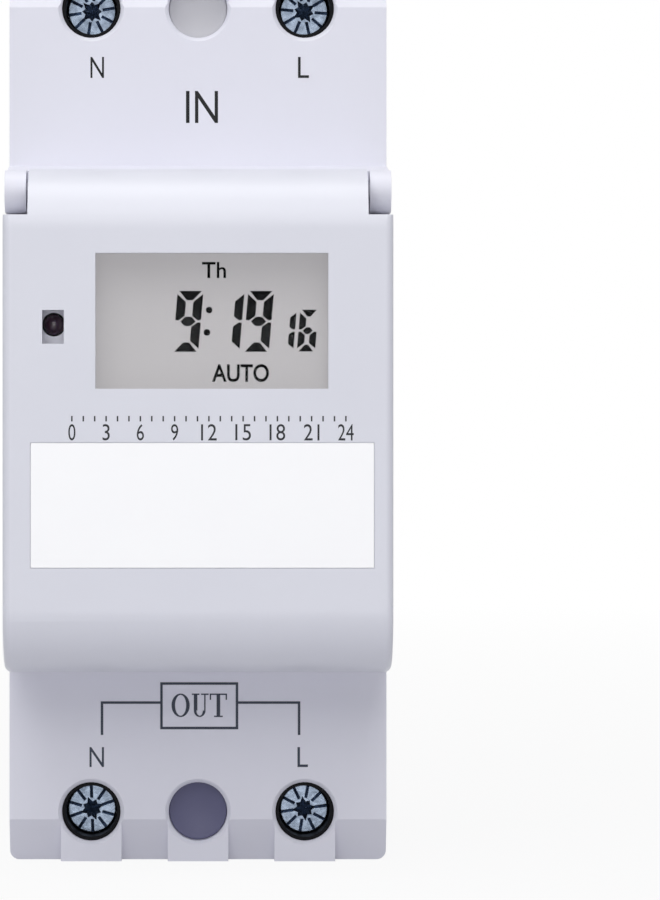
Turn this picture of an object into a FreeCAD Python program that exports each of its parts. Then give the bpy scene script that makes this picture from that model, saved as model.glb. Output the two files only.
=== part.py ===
# Two-module programmable timer switch for a 35 mm rail, in millimetres.
# It stands upright: x to the right, z up, and the front faces -Y.
# Depths are measured forward from the rail's face, so a depth d lies at y = rail_y - d.
# The origin is the middle of the bottom of the whole part's box.
import FreeCAD, Part
import os
import re
import Sketcher

os.makedirs("parts", exist_ok=True)
doc = FreeCAD.newDocument("TimerSwitch")

SIZES = [
    # whole body
    ("body_width", 36.0, "two modules of 18"),
    ("body_height", 86.2, "end to end"),
    ("rear_depth", 5.5, "how far the feet reach behind the rail's face"),
    ("joint_depth", 22.0, "where the two shells meet"),
    ("shoulder_depth", 44.0, "front of the terminal shoulders"),
    ("face_depth", 60.0, "front of the closed cover"),
    ("side_wall", 1.8, "long walls of both shells"),
    ("end_wall", 1.5, "short walls of both shells"),
    ("front_wall", 1.6, "front walls of the front shell"),
    ("base_floor", 1.8, "floor of the rear shell"),
    ("corner_round", 0.9, "upright corners of both shells"),
    ("seam_bevel", 0.3, "groove round the joint of the shells"),
    # rail clip
    ("rail_shift", -0.45, "middle of the rail above the body's middle"),
    ("rail_width", 35.0, "standard rail"),
    ("rail_gap_top", 0.3, "recess beyond the rail's upper edge"),
    ("rail_gap_low", 1.15, "recess beyond the rail's lower edge"),
    ("rail_grip", 1.3, "rail flange of 1 and its play"),
    ("hook_reach", 1.5, "hook over the rail's upper edge"),
    ("hook_thick", 2.3, "thickness of the fixed hook"),
    ("latch_width", 10.0, "sliding latch"),
    ("latch_thick", 2.5, "sliding latch"),
    ("latch_reach", 1.75, "nose over the rail's lower edge"),
    ("latch_tail", 4.2, "end of the latch above the bottom"),
    ("latch_fit", 0.1, "play all round the latch"),
    ("latch_slot", 6.8, "slot in the foot that shows the latch"),
    ("latch_window_low", 8.0, "window in the latch for its spring"),
    ("latch_window_top", 19.0, "window in the latch for its spring"),
    ("latch_window_width", 3.2, "window in the latch for its spring"),
    ("peg_gap", 0.3, "play between the stop peg and the window"),
    ("peg_height", 1.0, "stop peg"),
    ("spring_diameter", 2.2, "latch spring outside"),
    ("spring_wire", 0.3, "latch spring wire"),
    ("pull_width", 4.0, "screwdriver hole in the latch tail"),
    ("pull_height", 1.4, "screwdriver hole in the latch tail"),
    ("pull_margin", 1.0, "latch below that hole"),
    ("core_depth", 3.5, "hollows in the back of the feet"),
    ("core_wall", 2.4, "wall round those hollows"),
    # shell screws
    ("shell_screw_x", 8.5, "from the middle"),
    ("shell_screw_end", 16.5, "from each end"),
    ("shell_post_radius", 2.4, "tubes that the screws pass through"),
    ("shell_screw_radius", 1.4, "shank"),
    ("shell_screw_fit", 0.05, "play round the shank"),
    ("shell_head_radius", 2.5, "head"),
    ("shell_head_thick", 2.0, "head"),
    ("shell_head_sink", 4.0, "seat of the head inside the foot"),
    ("shell_screw_bite", 11.0, "thread in the front shell"),
    ("shell_drive_length", 3.2, "cross slot in the head"),
    # terminals
    ("terminal_x", 10.2, "from the middle"),
    ("terminal_end", 4.73, "from each end"),
    ("screw_hole_radius", 2.8, "hole over each screw"),
    ("hole_rim", 0.35, "bevel of the hole"),
    ("well_depth", 9.0, "blind well in the middle"),
    ("chamber_width", 8.4, "hollow for the clamp cage"),
    ("chamber_end", 9.4, "inner end of that hollow"),
    ("chamber_wall", 1.5, "wall behind it"),
    ("chamber_roof", 37.5, "depth of its front end"),
    ("rib_half", 4.2, "half the hollow between the ribs"),
    ("middle_roof", 33.0, "depth of the floor of the middle block"),
    ("deck_thick", 1.5, "decks that close the hollows from behind"),
    ("bevel_length", 4.0, "lower end bevel along the body"),
    ("upper_bevel_length", 4.65, "upper end bevel along the body"),
    ("bevel_drop", 2.0, "end bevel in depth"),
    ("column_width", 5.8, "columns that stay proud of the bevel"),
    ("wire_width", 6.0, "wire entry"),
    ("wire_height", 5.2, "wire entry"),
    ("blind_entry", 0.8, "depth of the unused middle entry"),
    ("bar_depth", 30.3, "back of the clamp bar"),
    ("bar_thick", 1.2, "clamp bar"),
    ("bar_width", 5.0, "clamp bar"),
    ("bar_end", 12.5, "inner end of the clamp bar"),
    ("bar_fit", 0.05, "play of the bar in its wall"),
    ("cage_width", 7.6, "clamp cage"),
    ("cage_length", 5.6, "clamp cage"),
    ("cage_side", 1.2, "side walls of the cage"),
    ("cage_floor", 1.3, "jaw of the cage"),
    ("cage_roof", 1.5, "threaded wall of the cage"),
    ("cage_space", 5.0, "room for the wire"),
    ("cage_gap", 0.3, "between the bar and the threaded wall"),
    ("screw_radius", 2.0, "terminal screw"),
    ("screw_fit", 0.05, "play of the screw in the cage"),
    ("head_radius", 2.5, "terminal screw head"),
    ("head_height", 2.4, "terminal screw head"),
    ("head_gap", 0.4, "head above the hollow"),
    ("drive_width", 0.85, "cross slot in the head"),
    ("drive_length", 2.4, "cross slot in the head"),
    ("drive_depth", 1.3, "cross slot in the head"),
    # straps
    ("strap_thick", 0.8, "copper straps"),
    ("strap_width", 4.0, "copper straps"),
    ("strap_wall_gap", 0.6, "neutral strap to the side wall"),
    ("strap_gap", 0.3, "straps clear of the chamber wall"),
    # raised platform
    ("platform_drop", 23.4, "lower wall below the body's middle"),
    ("wall_slope", 0.8, "foot of the upper wall beyond its lip"),
    ("lip_step", 1.6, "wall behind the hinge, back from the skirt's end"),
    ("raised_height", 5.5, "platform in front of the cover's skirt"),
    ("face_gap", 0.9, "platform behind the inside of the cover"),
    ("platform_rise", 18.0, "upper end under the hinge, above the body's middle"),
    ("platform_round", 3.0, "lower front edge, inside the cover's curve"),
    ("ledge_width", 1.6, "wall of the narrow upper part"),
    # cover
    ("cover_wall", 1.6, "wall"),
    ("cover_drop", 24.45, "lower end below the body's middle"),
    ("cover_gap", 0.2, "play round the platform"),
    ("cover_round", 6.0, "top and bottom curves"),
    ("cover_edge_round", 0.7, "side edges"),
    ("hinge_rise", 2.4, "hinge axis above the platform's end"),
    ("hinge_inset", 6.6, "hinge axis behind the cover's face"),
    ("barrel_radius", 2.1, "cover's barrel"),
    ("ear_radius", 2.0, "housing's ears"),
    ("ear_width", 2.0, "housing's ears"),
    ("ear_gap", 0.3, "between ear and barrel"),
    ("pin_radius", 0.8, "hinge pins moulded on the cover"),
    ("pin_fit", 0.1, "play of the pins"),
    ("pin_length", 1.5, "hinge pins"),
    ("window_x", 1.27, "middle of the display window"),
    ("window_up", 8.21, "middle of the display window above the body's middle"),
    ("window_side", 7.28, "display window to the body's sides, on average"),
    ("window_height", 12.5, "display window"),
    ("lamp_side", 2.86, "signal lamp to the side of the platform"),
    ("lamp_up", 7.9, "signal lamp above the body's middle"),
    ("lamp_slot_width", 2.0, "slot over the lamp"),
    ("lamp_slot_height", 3.1, "slot over the lamp"),
    ("lamp_slot_shift", -0.25, "slot below the lamp's middle"),
    ("label_x", 0.4, "middle of the label"),
    ("label_up", -8.78, "middle of the label above the body's middle"),
    ("label_side", 2.2, "label to the body's sides, on average"),
    ("label_height", 11.5, "label"),
    ("label_thick", 0.2, "label and its recess"),
    ("label_fit", 0.05, "play of the label"),
    # display
    ("pane_margin", 1.6, "pane beyond the window"),
    ("pane_thick", 1.0, "clear pane"),
    ("pane_fit", 0.05, "play of the pane"),
    ("opening_margin", 0.6, "opening behind the pane"),
    ("glass_margin", 1.0, "display glass beyond the window"),
    ("glass_thick", 2.2, "display glass"),
    ("glass_gap", 0.2, "glass behind the front wall"),
    ("frame_wall", 0.6, "frame round the glass"),
    ("frame_fit", 0.1, "play of the glass in its frame"),
    ("strip_width", 2.0, "contact strips"),
    ("strip_inset", 0.3, "contact strips inside the glass edge"),
    ("lamp_radius", 1.0, "signal lamp"),
    ("lamp_fit", 0.1, "play of the lamp"),
    ("lamp_rise", 0.3, "lamp above the platform"),
    # keys
    ("key_side", 0.5, "outer switches to the platform's wall"),
    ("key_pitch_z", 8.5, "between rows"),
    ("key_up", -11.35, "between the two rows, above the body's middle"),
    ("key_radius", 2.5, "cap"),
    ("key_fit", 0.1, "play of the cap"),
    ("key_rise", 0.6, "cap above the platform"),
    ("key_flange", 0.5, "flange beyond the cap"),
    ("key_flange_thick", 0.9, "flange"),
    ("key_flange_gap", 0.1, "flange behind the front wall"),
    ("key_round", 0.3, "cap edge"),
    ("stem_radius", 1.5, "plunger"),
    ("stem_fit", 0.1, "play of the plunger"),
    ("key_travel", 0.5, "press"),
    ("key_spare", 0.1, "left under the pressed plunger"),
    ("switch_size", 6.0, "push switch"),
    ("switch_height", 3.0, "push switch"),
    ("switch_well", 2.0, "depth of the plunger's well"),
    # boards and what they carry
    ("control_thick", 1.2, "control board"),
    ("board_play", 0.3, "boards inside the walls"),
    ("power_depth", 8.0, "back of the power board"),
    ("power_thick", 1.6, "power board"),
    ("power_end", 11.5, "ends of the power board"),
    ("post_radius", 2.0, "posts under the power board"),
    ("board_screw_side", 3.4, "board screws to the side wall"),
    ("board_screw_down", 15.1, "lower board screw below the body's middle"),
    ("board_screw_up", 19.4, "upper board screw above the body's middle"),
    ("board_screw_radius", 1.0, "board screws"),
    ("board_screw_head", 1.9, "board screws"),
    ("board_screw_length", 4.5, "below the board"),
    ("board_screw_cap", 1.4, "head of the board screws"),
    ("chip_size", 10.0, "timer chip"),
    ("chip_thick", 1.6, "timer chip"),
    ("chip_x", -7.0, "timer chip"),
    ("chip_up", 6.9, "timer chip above the body's middle"),
    ("crystal_radius", 1.0, "clock crystal"),
    ("crystal_length", 6.0, "clock crystal"),
    ("crystal_up", -3.1, "clock crystal above the body's middle"),
    ("battery_radius", 5.75, "backup battery"),
    ("battery_thick", 5.4, "backup battery"),
    ("battery_x", 7.5, "backup battery"),
    ("battery_up", 5.9, "backup battery above the body's middle"),
    ("link_side", 2.5, "strip between the boards to the side wall"),
    ("link_up", -19.2, "strip between the boards above the body's middle"),
    ("link_thick", 1.0, "strip between the boards"),
    ("link_width", 3.4, "strip between the boards"),
    ("relay_side", 1.7, "relay case to the side wall"),
    ("relay_up", 0.9, "middle of the relay above the body's middle"),
    ("relay_width", 16.0, "relay case"),
    ("relay_length", 28.0, "relay case"),
    ("relay_height", 24.4, "relay case"),
    ("relay_wall", 0.9, "relay case"),
    ("relay_base_thick", 1.5, "relay base"),
    ("relay_fit", 0.05, "base inside the case"),
    ("yoke_thick", 1.2, "relay yoke"),
    ("yoke_width", 8.0, "relay yoke"),
    ("yoke_height", 16.5, "relay yoke above its foot"),
    ("coil_shift", 5.5, "coil below the relay's middle"),
    ("coil_radius", 5.5, "relay coil"),
    ("coil_gap", 0.7, "coil above the yoke's foot"),
    ("core_radius", 2.5, "iron core"),
    ("core_short", 0.3, "core below the yoke's top"),
    ("yoke_shift", 2.0, "upright of the yoke above the relay's middle"),
    ("armature_gap", 0.3, "armature above the yoke"),
    ("armature_thick", 1.2, "armature"),
    ("armature_reach", 12.0, "armature below the hinge"),
    ("arm_thick", 0.6, "contact arm"),
    ("arm_width", 4.0, "contact arm"),
    ("arm_overlap", 2.6, "contact arm on the armature"),
    ("arm_reach", 7.4, "contact arm beyond the hinge"),
    ("contact_radius", 1.2, "contact buttons"),
    ("contact_thick", 0.4, "contact buttons"),
    ("contact_gap", 0.4, "open contacts"),
    ("bracket_gap", 0.8, "contact arm to the bracket behind it"),
    ("bracket_thick", 0.6, "fixed contact bracket"),
    ("film_side", 0.4, "film capacitor to the side wall"),
    ("film_up", -2.35, "film capacitor above the body's middle"),
    ("film_width", 10.5, "film capacitor"),
    ("film_length", 17.5, "film capacitor"),
    ("film_height", 16.0, "film capacitor"),
    ("smoother_x", 9.5, "round capacitor"),
    ("smoother_up", 11.9, "round capacitor above the body's middle"),
    ("smoother_radius", 4.0, "round capacitor"),
    ("smoother_height", 12.0, "round capacitor"),
    ("varistor_x", 5.0, "varistor"),
    ("varistor_up", -16.1, "varistor above the body's middle"),
    ("varistor_radius", 5.0, "varistor"),
    ("varistor_thick", 3.5, "varistor"),
    ("diode_radius", 1.35, "rectifier diodes"),
    ("diode_length", 5.2, "rectifier diodes"),
    ("diode_pitch", 3.2, "rectifier diodes"),
    ("diode_x", -3.0, "rectifier diodes"),
    ("diode_up", 17.9, "first diode above the body's middle"),
    ("resistor_radius", 1.25, "resistors"),
    ("resistor_length", 6.5, "resistors"),
    ("resistor_pitch", 3.2, "resistors"),
    ("resistor_x", -13.0, "resistors"),
    ("resistor_up", -18.1, "first resistor above the body's middle"),
    ("lead_width", 0.4, "lamp leads"),
    ("lamp_body", 2.8, "straight part of the lamp"),
    ("cut_spare", 1.0, "how far a cut runs past the face it opens"),
]

sheet = doc.addObject("Spreadsheet::Sheet", "Sizes")
for row, (alias, number, note) in enumerate(SIZES, 1):
    sheet.set(f"A{row}", alias)
    sheet.set(f"B{row}", str(number))
    sheet.setAlias(f"B{row}", alias)
    sheet.set(f"C{row}", note)
doc.recompute()


# Two edges or faces are level when they are this close.
CLOSE = 0.001

# Sizes that follow from others: heights count from the body's middle, and pieces that stand
# near a wall count from it.
DERIVED = {name: f"(body_height / 2 + {shift})" for name, shift in (
    ("rail_centre", "rail_shift"), ("platform_bottom", "(-platform_drop)"),
    ("platform_end", "platform_rise"), ("cover_bottom", "(-cover_drop)"),
    ("window_z", "window_up"), ("lamp_z", "lamp_up"), ("label_z", "label_up"),
    ("key_middle_z", "key_up"), ("board_screw_low", "(-board_screw_down)"),
    ("board_screw_high", "board_screw_up"), ("chip_z", "chip_up"), ("crystal_z", "crystal_up"),
    ("battery_z", "battery_up"), ("link_z", "link_up"), ("relay_z", "relay_up"),
    ("film_z", "film_up"), ("smoother_z", "smoother_up"), ("varistor_z", "varistor_up"),
    ("diode_z", "diode_up"), ("resistor_z", "resistor_up"))}
DERIVED.update({
    "inner_half": "(body_width / 2 - side_wall)",
    "narrow_half": "(body_width / 2 - cover_wall - cover_gap)",
    "platform_depth": "(face_depth - cover_wall - face_gap)",
    "step_depth": "(platform_depth - raised_height)",
    "lip_depth": "(step_depth - lip_step)",
    "hinge_depth": "(face_depth - hinge_inset)",
    "hinge_height": "(platform_end + hinge_rise)",
    "lip_top": "(hinge_height + barrel_radius)",
    "platform_top": "(lip_top + wall_slope)",
    "window_width": "(body_width - 2 * window_side)",
    "label_width": "(body_width - 2 * label_side)",
    "lamp_x": "(lamp_side - narrow_half)",
    "key_pitch_x": "((narrow_half - ledge_width - key_side - switch_size / 2) * 2 / 3)",
    "board_screw_x": "(inner_half - board_screw_side)",
    "link_x": "(inner_half - link_side)",
    "relay_x": "(relay_side + relay_width / 2 - inner_half)",
    "film_x": "(inner_half - film_side - film_width / 2)"})


def sized(text):
    """Turn names such as body_width into cells of the sheet, and derived names into their sums."""
    def cell(word):
        name = word.group(0)
        return sized(DERIVED[name]) if name in DERIVED else "Sizes." + name
    return re.sub(r"[a-z]+(?:_[a-z]+)+", cell, str(text))


def value(text):
    """The number that an expression of named sizes gives."""
    return float(sheet.evalExpression(sized(text)))


def bind(thing, prop, text):
    thing.setExpression(prop, sized(text))


# Places that many pieces share, as expressions of the sheet.
RAIL_Y = "((face_depth - rear_depth) / 2)"
HALF = "(body_width / 2)"
INNER_X = "inner_half"
RECESS_LOW = "(rail_centre - rail_width / 2 - rail_gap_low)"
RECESS_TOP = "(rail_centre + rail_width / 2 + rail_gap_top)"
BEAM_END = "(chamber_end + chamber_wall)"
NARROW_X = "narrow_half"
NARROW_LOW = "(cover_bottom + cover_wall + cover_gap + pin_fit)"
LEDGE_DEPTH = "(step_depth - ledge_width)"
WALL_BACK = "(platform_depth - front_wall)"
EAR_X = "(body_width / 2 - ear_width)"
POWER_FRONT = "(power_depth + power_thick)"
BAR_FRONT = "(bar_depth + bar_thick)"
CONTROL_BACK = f"({LEDGE_DEPTH} - control_thick)"
LATCH_BACK = "(rail_grip + latch_thick)"
PEG_LOW = "(latch_window_low + peg_gap)"
BOARD_SCREWS = [("board_screw_x", "board_screw_low"), ("-board_screw_x", "board_screw_high")]
ENDS = (("out", "0", "1"), ("in", "body_height", "-1"))
SIDES = (("n", "-1"), ("l", "1"))
KEY_COLUMNS = 4
DIODES = 4
RESISTORS = 2


def at(depth):
    """The y of a depth in front of the rail's face."""
    return f"({RAIL_Y} - ({depth}))"


def from_end(start, way, distance):
    """The z that lies a distance in from one end."""
    return f"({start} + ({way}) * ({distance}))"


# Drawing and feature helpers for the moulded shells.
def new_body(name):
    body = doc.addObject("PartDesign::Body", name)
    body.Label = name
    return body


def new_sketch(body, name, plane, offset):
    drawing = body.newObject("Sketcher::SketchObject", name)
    origin_plane = next(item for item in body.Origin.OriginFeatures if item.Role == plane)
    drawing.AttachmentSupport = (origin_plane, "")
    drawing.MapMode = "FlatFace"
    bind(drawing, ".AttachmentOffset.Base.z", offset)
    return drawing


def front_sketch(body, name, depth):
    """A sketch in x and z that faces the front at a depth."""
    return new_sketch(body, name, "XZ_Plane", f"({depth}) - {RAIL_Y}")


def side_sketch(body, name, x="0"):
    """A sketch in y and z, seen from the side."""
    return new_sketch(body, name, "YZ_Plane", x)


def end_sketch(body, name, z="0"):
    """A sketch in x and y, seen from above."""
    return new_sketch(body, name, "XY_Plane", z)


def fix_point(drawing, geometry, end, x, y):
    for kind, text in (("DistanceX", x), ("DistanceY", y)):
        number = drawing.addConstraint(
            Sketcher.Constraint(kind, -1, 1, geometry, end, value(text)))
        bind(drawing, f"Constraints[{number}]", text)


def add_polygon(drawing, points):
    first = drawing.GeometryCount
    corners = [FreeCAD.Vector(value(x), value(y), 0) for x, y in points]
    for here, there in zip(corners, corners[1:] + corners[:1]):
        drawing.addGeometry(Part.LineSegment(here, there), False)
    count = len(points)
    for step, (x, y) in enumerate(points):
        follower = first + (step + 1) % count
        drawing.addConstraint(Sketcher.Constraint("Coincident", first + step, 2, follower, 1))
        fix_point(drawing, first + step, 1, x, y)


def add_rectangle(drawing, x_low, x_high, y_low, y_high):
    add_polygon(drawing, [(x_low, y_low), (x_high, y_low), (x_high, y_high), (x_low, y_high)])


def add_circle(drawing, x, y, radius):
    centre = FreeCAD.Vector(value(x), value(y), 0)
    number = drawing.addGeometry(
        Part.Circle(centre, FreeCAD.Vector(0, 0, 1), value(radius)), False)
    fix_point(drawing, number, 3, x, y)
    size = drawing.addConstraint(Sketcher.Constraint("Radius", number, value(radius)))
    bind(drawing, f"Constraints[{size}]", radius)


def extrude(body, drawing, length, kind, turned, symmetric):
    doc.recompute()
    before = body.Shape.Volume if body.Tip else 0.0
    feature = body.newObject(f"PartDesign::{kind}", f"{body.Name}_{drawing.Name}_{kind}")
    feature.Profile = drawing
    feature.SideType = "Symmetric" if symmetric else "One side"
    feature.Reversed = turned
    bind(feature, "Length", length)
    doc.recompute()
    change = body.Shape.Volume - before
    if (change if kind == "Pad" else -change) < CLOSE:
        raise RuntimeError(f"{feature.Name} changes nothing")
    return feature


def pad(body, drawing, length, turned=False, symmetric=False):
    """Add material, towards the front or +X or +Z unless turned."""
    return extrude(body, drawing, length, "Pad", turned, symmetric)


def pocket(body, drawing, length, turned=False, symmetric=False):
    """Cut material, towards the back or -X or -Z unless turned."""
    return extrude(body, drawing, length, "Pocket", turned, symmetric)


def dress(body, kind, name, size_name, size, wanted):
    """Round or bevel the edges that a test picks."""
    doc.recompute()
    base = body.Tip
    edges = [f"Edge{n}" for n, edge in enumerate(base.Shape.Edges, 1) if wanted(edge)]
    if not edges:
        raise RuntimeError(f"{name} finds no edge")
    feature = body.newObject(f"PartDesign::{kind}", f"{body.Name}_{name}")
    feature.Base = (base, edges)
    bind(feature, size_name, size)
    doc.recompute()
    if "Invalid" in feature.State:
        raise RuntimeError(f"{feature.Name} failed")
    return feature


def spans(edge, x=None, y=None, z=None):
    """Whether an edge lies inside the given limits of x, y and z."""
    box = edge.BoundBox
    sides = ((x, box.XMin, box.XMax), (y, box.YMin, box.YMax), (z, box.ZMin, box.ZMax))
    for limits, low, high in sides:
        if limits and (low < min(limits) - CLOSE or high > max(limits) + CLOSE):
            return False
    return True


# Plain solids for pieces that are turned, cut or bent.
def block(name, x_low, x_high, depth_low, depth_high, z_low, z_high):
    thing = doc.addObject("Part::Box", name)
    bind(thing, "Length", f"({x_high}) - ({x_low})")
    bind(thing, "Width", f"({depth_high}) - ({depth_low})")
    bind(thing, "Height", f"({z_high}) - ({z_low})")
    bind(thing, ".Placement.Base.x", x_low)
    bind(thing, ".Placement.Base.y", at(depth_high))
    bind(thing, ".Placement.Base.z", z_low)
    return thing


def place_rod(thing, x, depth, z, turn):
    thing.Placement.Rotation = turn
    bind(thing, ".Placement.Base.x", x)
    bind(thing, ".Placement.Base.y", at(depth))
    bind(thing, ".Placement.Base.z", z)


def rod(name, radius, x, z, depth_low, depth_high):
    """A round rod that points to the front."""
    thing = doc.addObject("Part::Cylinder", name)
    bind(thing, "Radius", radius)
    bind(thing, "Height", f"({depth_high}) - ({depth_low})")
    place_rod(thing, x, depth_low, z, FreeCAD.Rotation(FreeCAD.Vector(1, 0, 0), 90))
    return thing


def cross_rod(name, radius, x_low, x_high, depth, z):
    """A round rod that lies along x."""
    thing = doc.addObject("Part::Cylinder", name)
    bind(thing, "Radius", radius)
    bind(thing, "Height", f"({x_high}) - ({x_low})")
    place_rod(thing, x_low, depth, z, FreeCAD.Rotation(FreeCAD.Vector(0, 1, 0), 90))
    return thing


def up_rod(name, radius, x, depth, z_low, z_high):
    """A round rod that stands along z."""
    thing = doc.addObject("Part::Cylinder", name)
    bind(thing, "Radius", radius)
    bind(thing, "Height", f"({z_high}) - ({z_low})")
    place_rod(thing, x, depth, z_low, FreeCAD.Rotation())
    return thing


def joined(name, pieces):
    whole = doc.addObject("Part::MultiFuse", name)
    whole.Shapes = pieces
    whole.Refine = True
    whole.Label = name
    return whole


def group(name, pieces):
    """Several separate solids in one sub-part."""
    whole = doc.addObject("Part::Compound", name)
    whole.Links = pieces
    whole.Label = name
    return whole


def cut(name, base, tools):
    tool = tools[0]
    if len(tools) > 1:
        tool = doc.addObject("Part::MultiFuse", f"{name}_tools")
        tool.Shapes = tools
    whole = doc.addObject("Part::Cut", name)
    whole.Base = base
    whole.Tool = tool
    whole.Label = name
    return whole


def shell_screws():
    """Centres of the four screws that hold the shells together."""
    for start, way in (("0", "1"), ("body_height", "-1")):
        for side in ("-1", "1"):
            yield f"({side}) * shell_screw_x", from_end(start, way, "shell_screw_end")


def terminals():
    """Name, x, z, end and inward direction of the four terminals."""
    for end, start, way in ENDS:
        for side, sign in SIDES:
            yield f"{end}_{side}", f"({sign}) * terminal_x", start, way


# Rear shell: a tray with the rail recess, the fixed hook and the latch guide.
def make_rear_base():
    body = new_body("rear_base")
    outline = front_sketch(body, "Outline", "-rear_depth")
    add_rectangle(outline, f"-{HALF}", HALF, "0", "body_height")
    pad(body, outline, "rear_depth + joint_depth")

    recess = side_sketch(body, "RailRecess")
    hook_edge = f"({RECESS_TOP} - rail_gap_top - hook_reach)"
    hook_back = "-(rail_grip + hook_thick)"
    add_polygon(recess, [
        (at("0"), RECESS_LOW), (at("0"), RECESS_TOP), (at("-rail_grip"), RECESS_TOP),
        (at("-rail_grip"), hook_edge), (at(hook_back), hook_edge), (at(hook_back), RECESS_TOP),
        (at("-rear_depth - cut_spare"), RECESS_TOP), (at("-rear_depth - cut_spare"), RECESS_LOW)])
    pocket(body, recess, "body_width + 2 * cut_spare", symmetric=True)

    inside = front_sketch(body, "Inside", "joint_depth")
    add_rectangle(inside, f"-{INNER_X}", INNER_X, "end_wall", "body_height - end_wall")
    pocket(body, inside, "joint_depth - base_floor")

    posts = front_sketch(body, "ScrewPosts", "base_floor")
    for x, z in shell_screws():
        add_circle(posts, x, z, "shell_post_radius")
    pad(body, posts, "joint_depth - base_floor")

    rests = front_sketch(body, "BoardPosts", "base_floor")
    for x, z in BOARD_SCREWS:
        add_circle(rests, x, z, "post_radius")
    pad(body, rests, "power_depth - base_floor")
    threads = front_sketch(body, "BoardThreads", "power_depth")
    for x, z in BOARD_SCREWS:
        add_circle(threads, x, z, "board_screw_radius + shell_screw_fit")
    pocket(body, threads, "board_screw_length + board_play")

    decks = front_sketch(body, "TerminalDecks", "joint_depth - deck_thick")
    for start, way in (("0", "1"), ("body_height", "-1")):
        near = from_end(start, way, "end_wall")
        far = from_end(start, way, BEAM_END)
        add_rectangle(decks, f"-{INNER_X}", INNER_X, near, far)
    pad(body, decks, "deck_thick")

    shafts = front_sketch(body, "ScrewShafts", "joint_depth")
    for x, z in shell_screws():
        add_circle(shafts, x, z, "shell_screw_radius + shell_screw_fit")
    pocket(body, shafts, "joint_depth + rear_depth")
    sinks = front_sketch(body, "HeadSinks", "-rear_depth")
    for x, z in shell_screws():
        add_circle(sinks, x, z, "shell_head_radius + pin_fit")
    pocket(body, sinks, "shell_head_sink", turned=True)

    slot = front_sketch(body, "LatchSlot", "-rear_depth")
    add_rectangle(slot, "-latch_slot / 2", "latch_slot / 2", "0", RECESS_LOW)
    pocket(body, slot, f"rear_depth - {LATCH_BACK} + latch_fit", turned=True)
    guide = end_sketch(body, "LatchGuide")
    half_guide = "(latch_width / 2 + latch_fit)"
    add_rectangle(guide, f"-{half_guide}", half_guide,
                  at("-rail_grip + latch_fit"), at(f"-({LATCH_BACK} + latch_fit)"))
    pocket(body, guide, RECESS_LOW, turned=True)
    peg = front_sketch(body, "StopPeg", f"-{LATCH_BACK} + latch_fit")
    half_peg = "(latch_window_width / 2 - peg_gap)"
    add_rectangle(peg, f"-{half_peg}", half_peg, PEG_LOW, f"{PEG_LOW} + peg_height")
    pad(body, peg, "latch_thick")

    cores = front_sketch(body, "FootHollows", "-rear_depth")
    for side in ("-1", "1"):
        near = f"({side}) * (latch_width / 2 + core_wall)"
        far = f"({side}) * ({HALF} - core_wall)"
        add_rectangle(cores, near, far, "core_wall", "shell_screw_end - shell_head_radius - core_wall")
    for column in (-1, 0, 1):
        middle = f"({column}) * (body_width - core_wall) / 3"
        half_core = "((body_width - 4 * core_wall) / 6)"
        add_rectangle(cores, f"{middle} - {half_core}", f"{middle} + {half_core}",
                      "body_height - shell_screw_end + shell_head_radius + core_wall",
                      "body_height - core_wall")
    pocket(body, cores, "core_depth", turned=True)

    round_corners(body, "-rear_depth", "joint_depth")
    seam = value(at("joint_depth"))
    dress(body, "Chamfer", "Seam", "Size", "seam_bevel", lambda edge: on_outline(edge, seam))


def on_outline(edge, y):
    """Whether an edge is on the outer outline at a given y."""
    box = edge.BoundBox
    half = value(HALF)
    height = value("body_height")
    rim = value("side_wall") / 2
    outer = (box.XMax < -half + rim or box.XMin > half - rim
             or box.ZMax < rim or box.ZMin > height - rim)
    return outer and abs(box.YMin - y) < CLOSE and abs(box.YMax - y) < CLOSE


def round_corners(body, depth_low, depth_high):
    """Round the four outer corners that run from back to front."""
    half = value(HALF)
    height = value("body_height")
    y_limits = (value(at(depth_low)), value(at(depth_high)))

    def at_corner(edge):
        box = edge.BoundBox
        sideways = abs(abs(box.XMin) - half) < CLOSE and box.XLength < CLOSE
        endways = box.ZLength < CLOSE and min(abs(box.ZMin), abs(box.ZMin - height)) < CLOSE
        return sideways and endways and spans(edge, y=y_limits) and box.YLength > CLOSE

    dress(body, "Fillet", "Corners", "Radius", "corner_round", at_corner)


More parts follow.
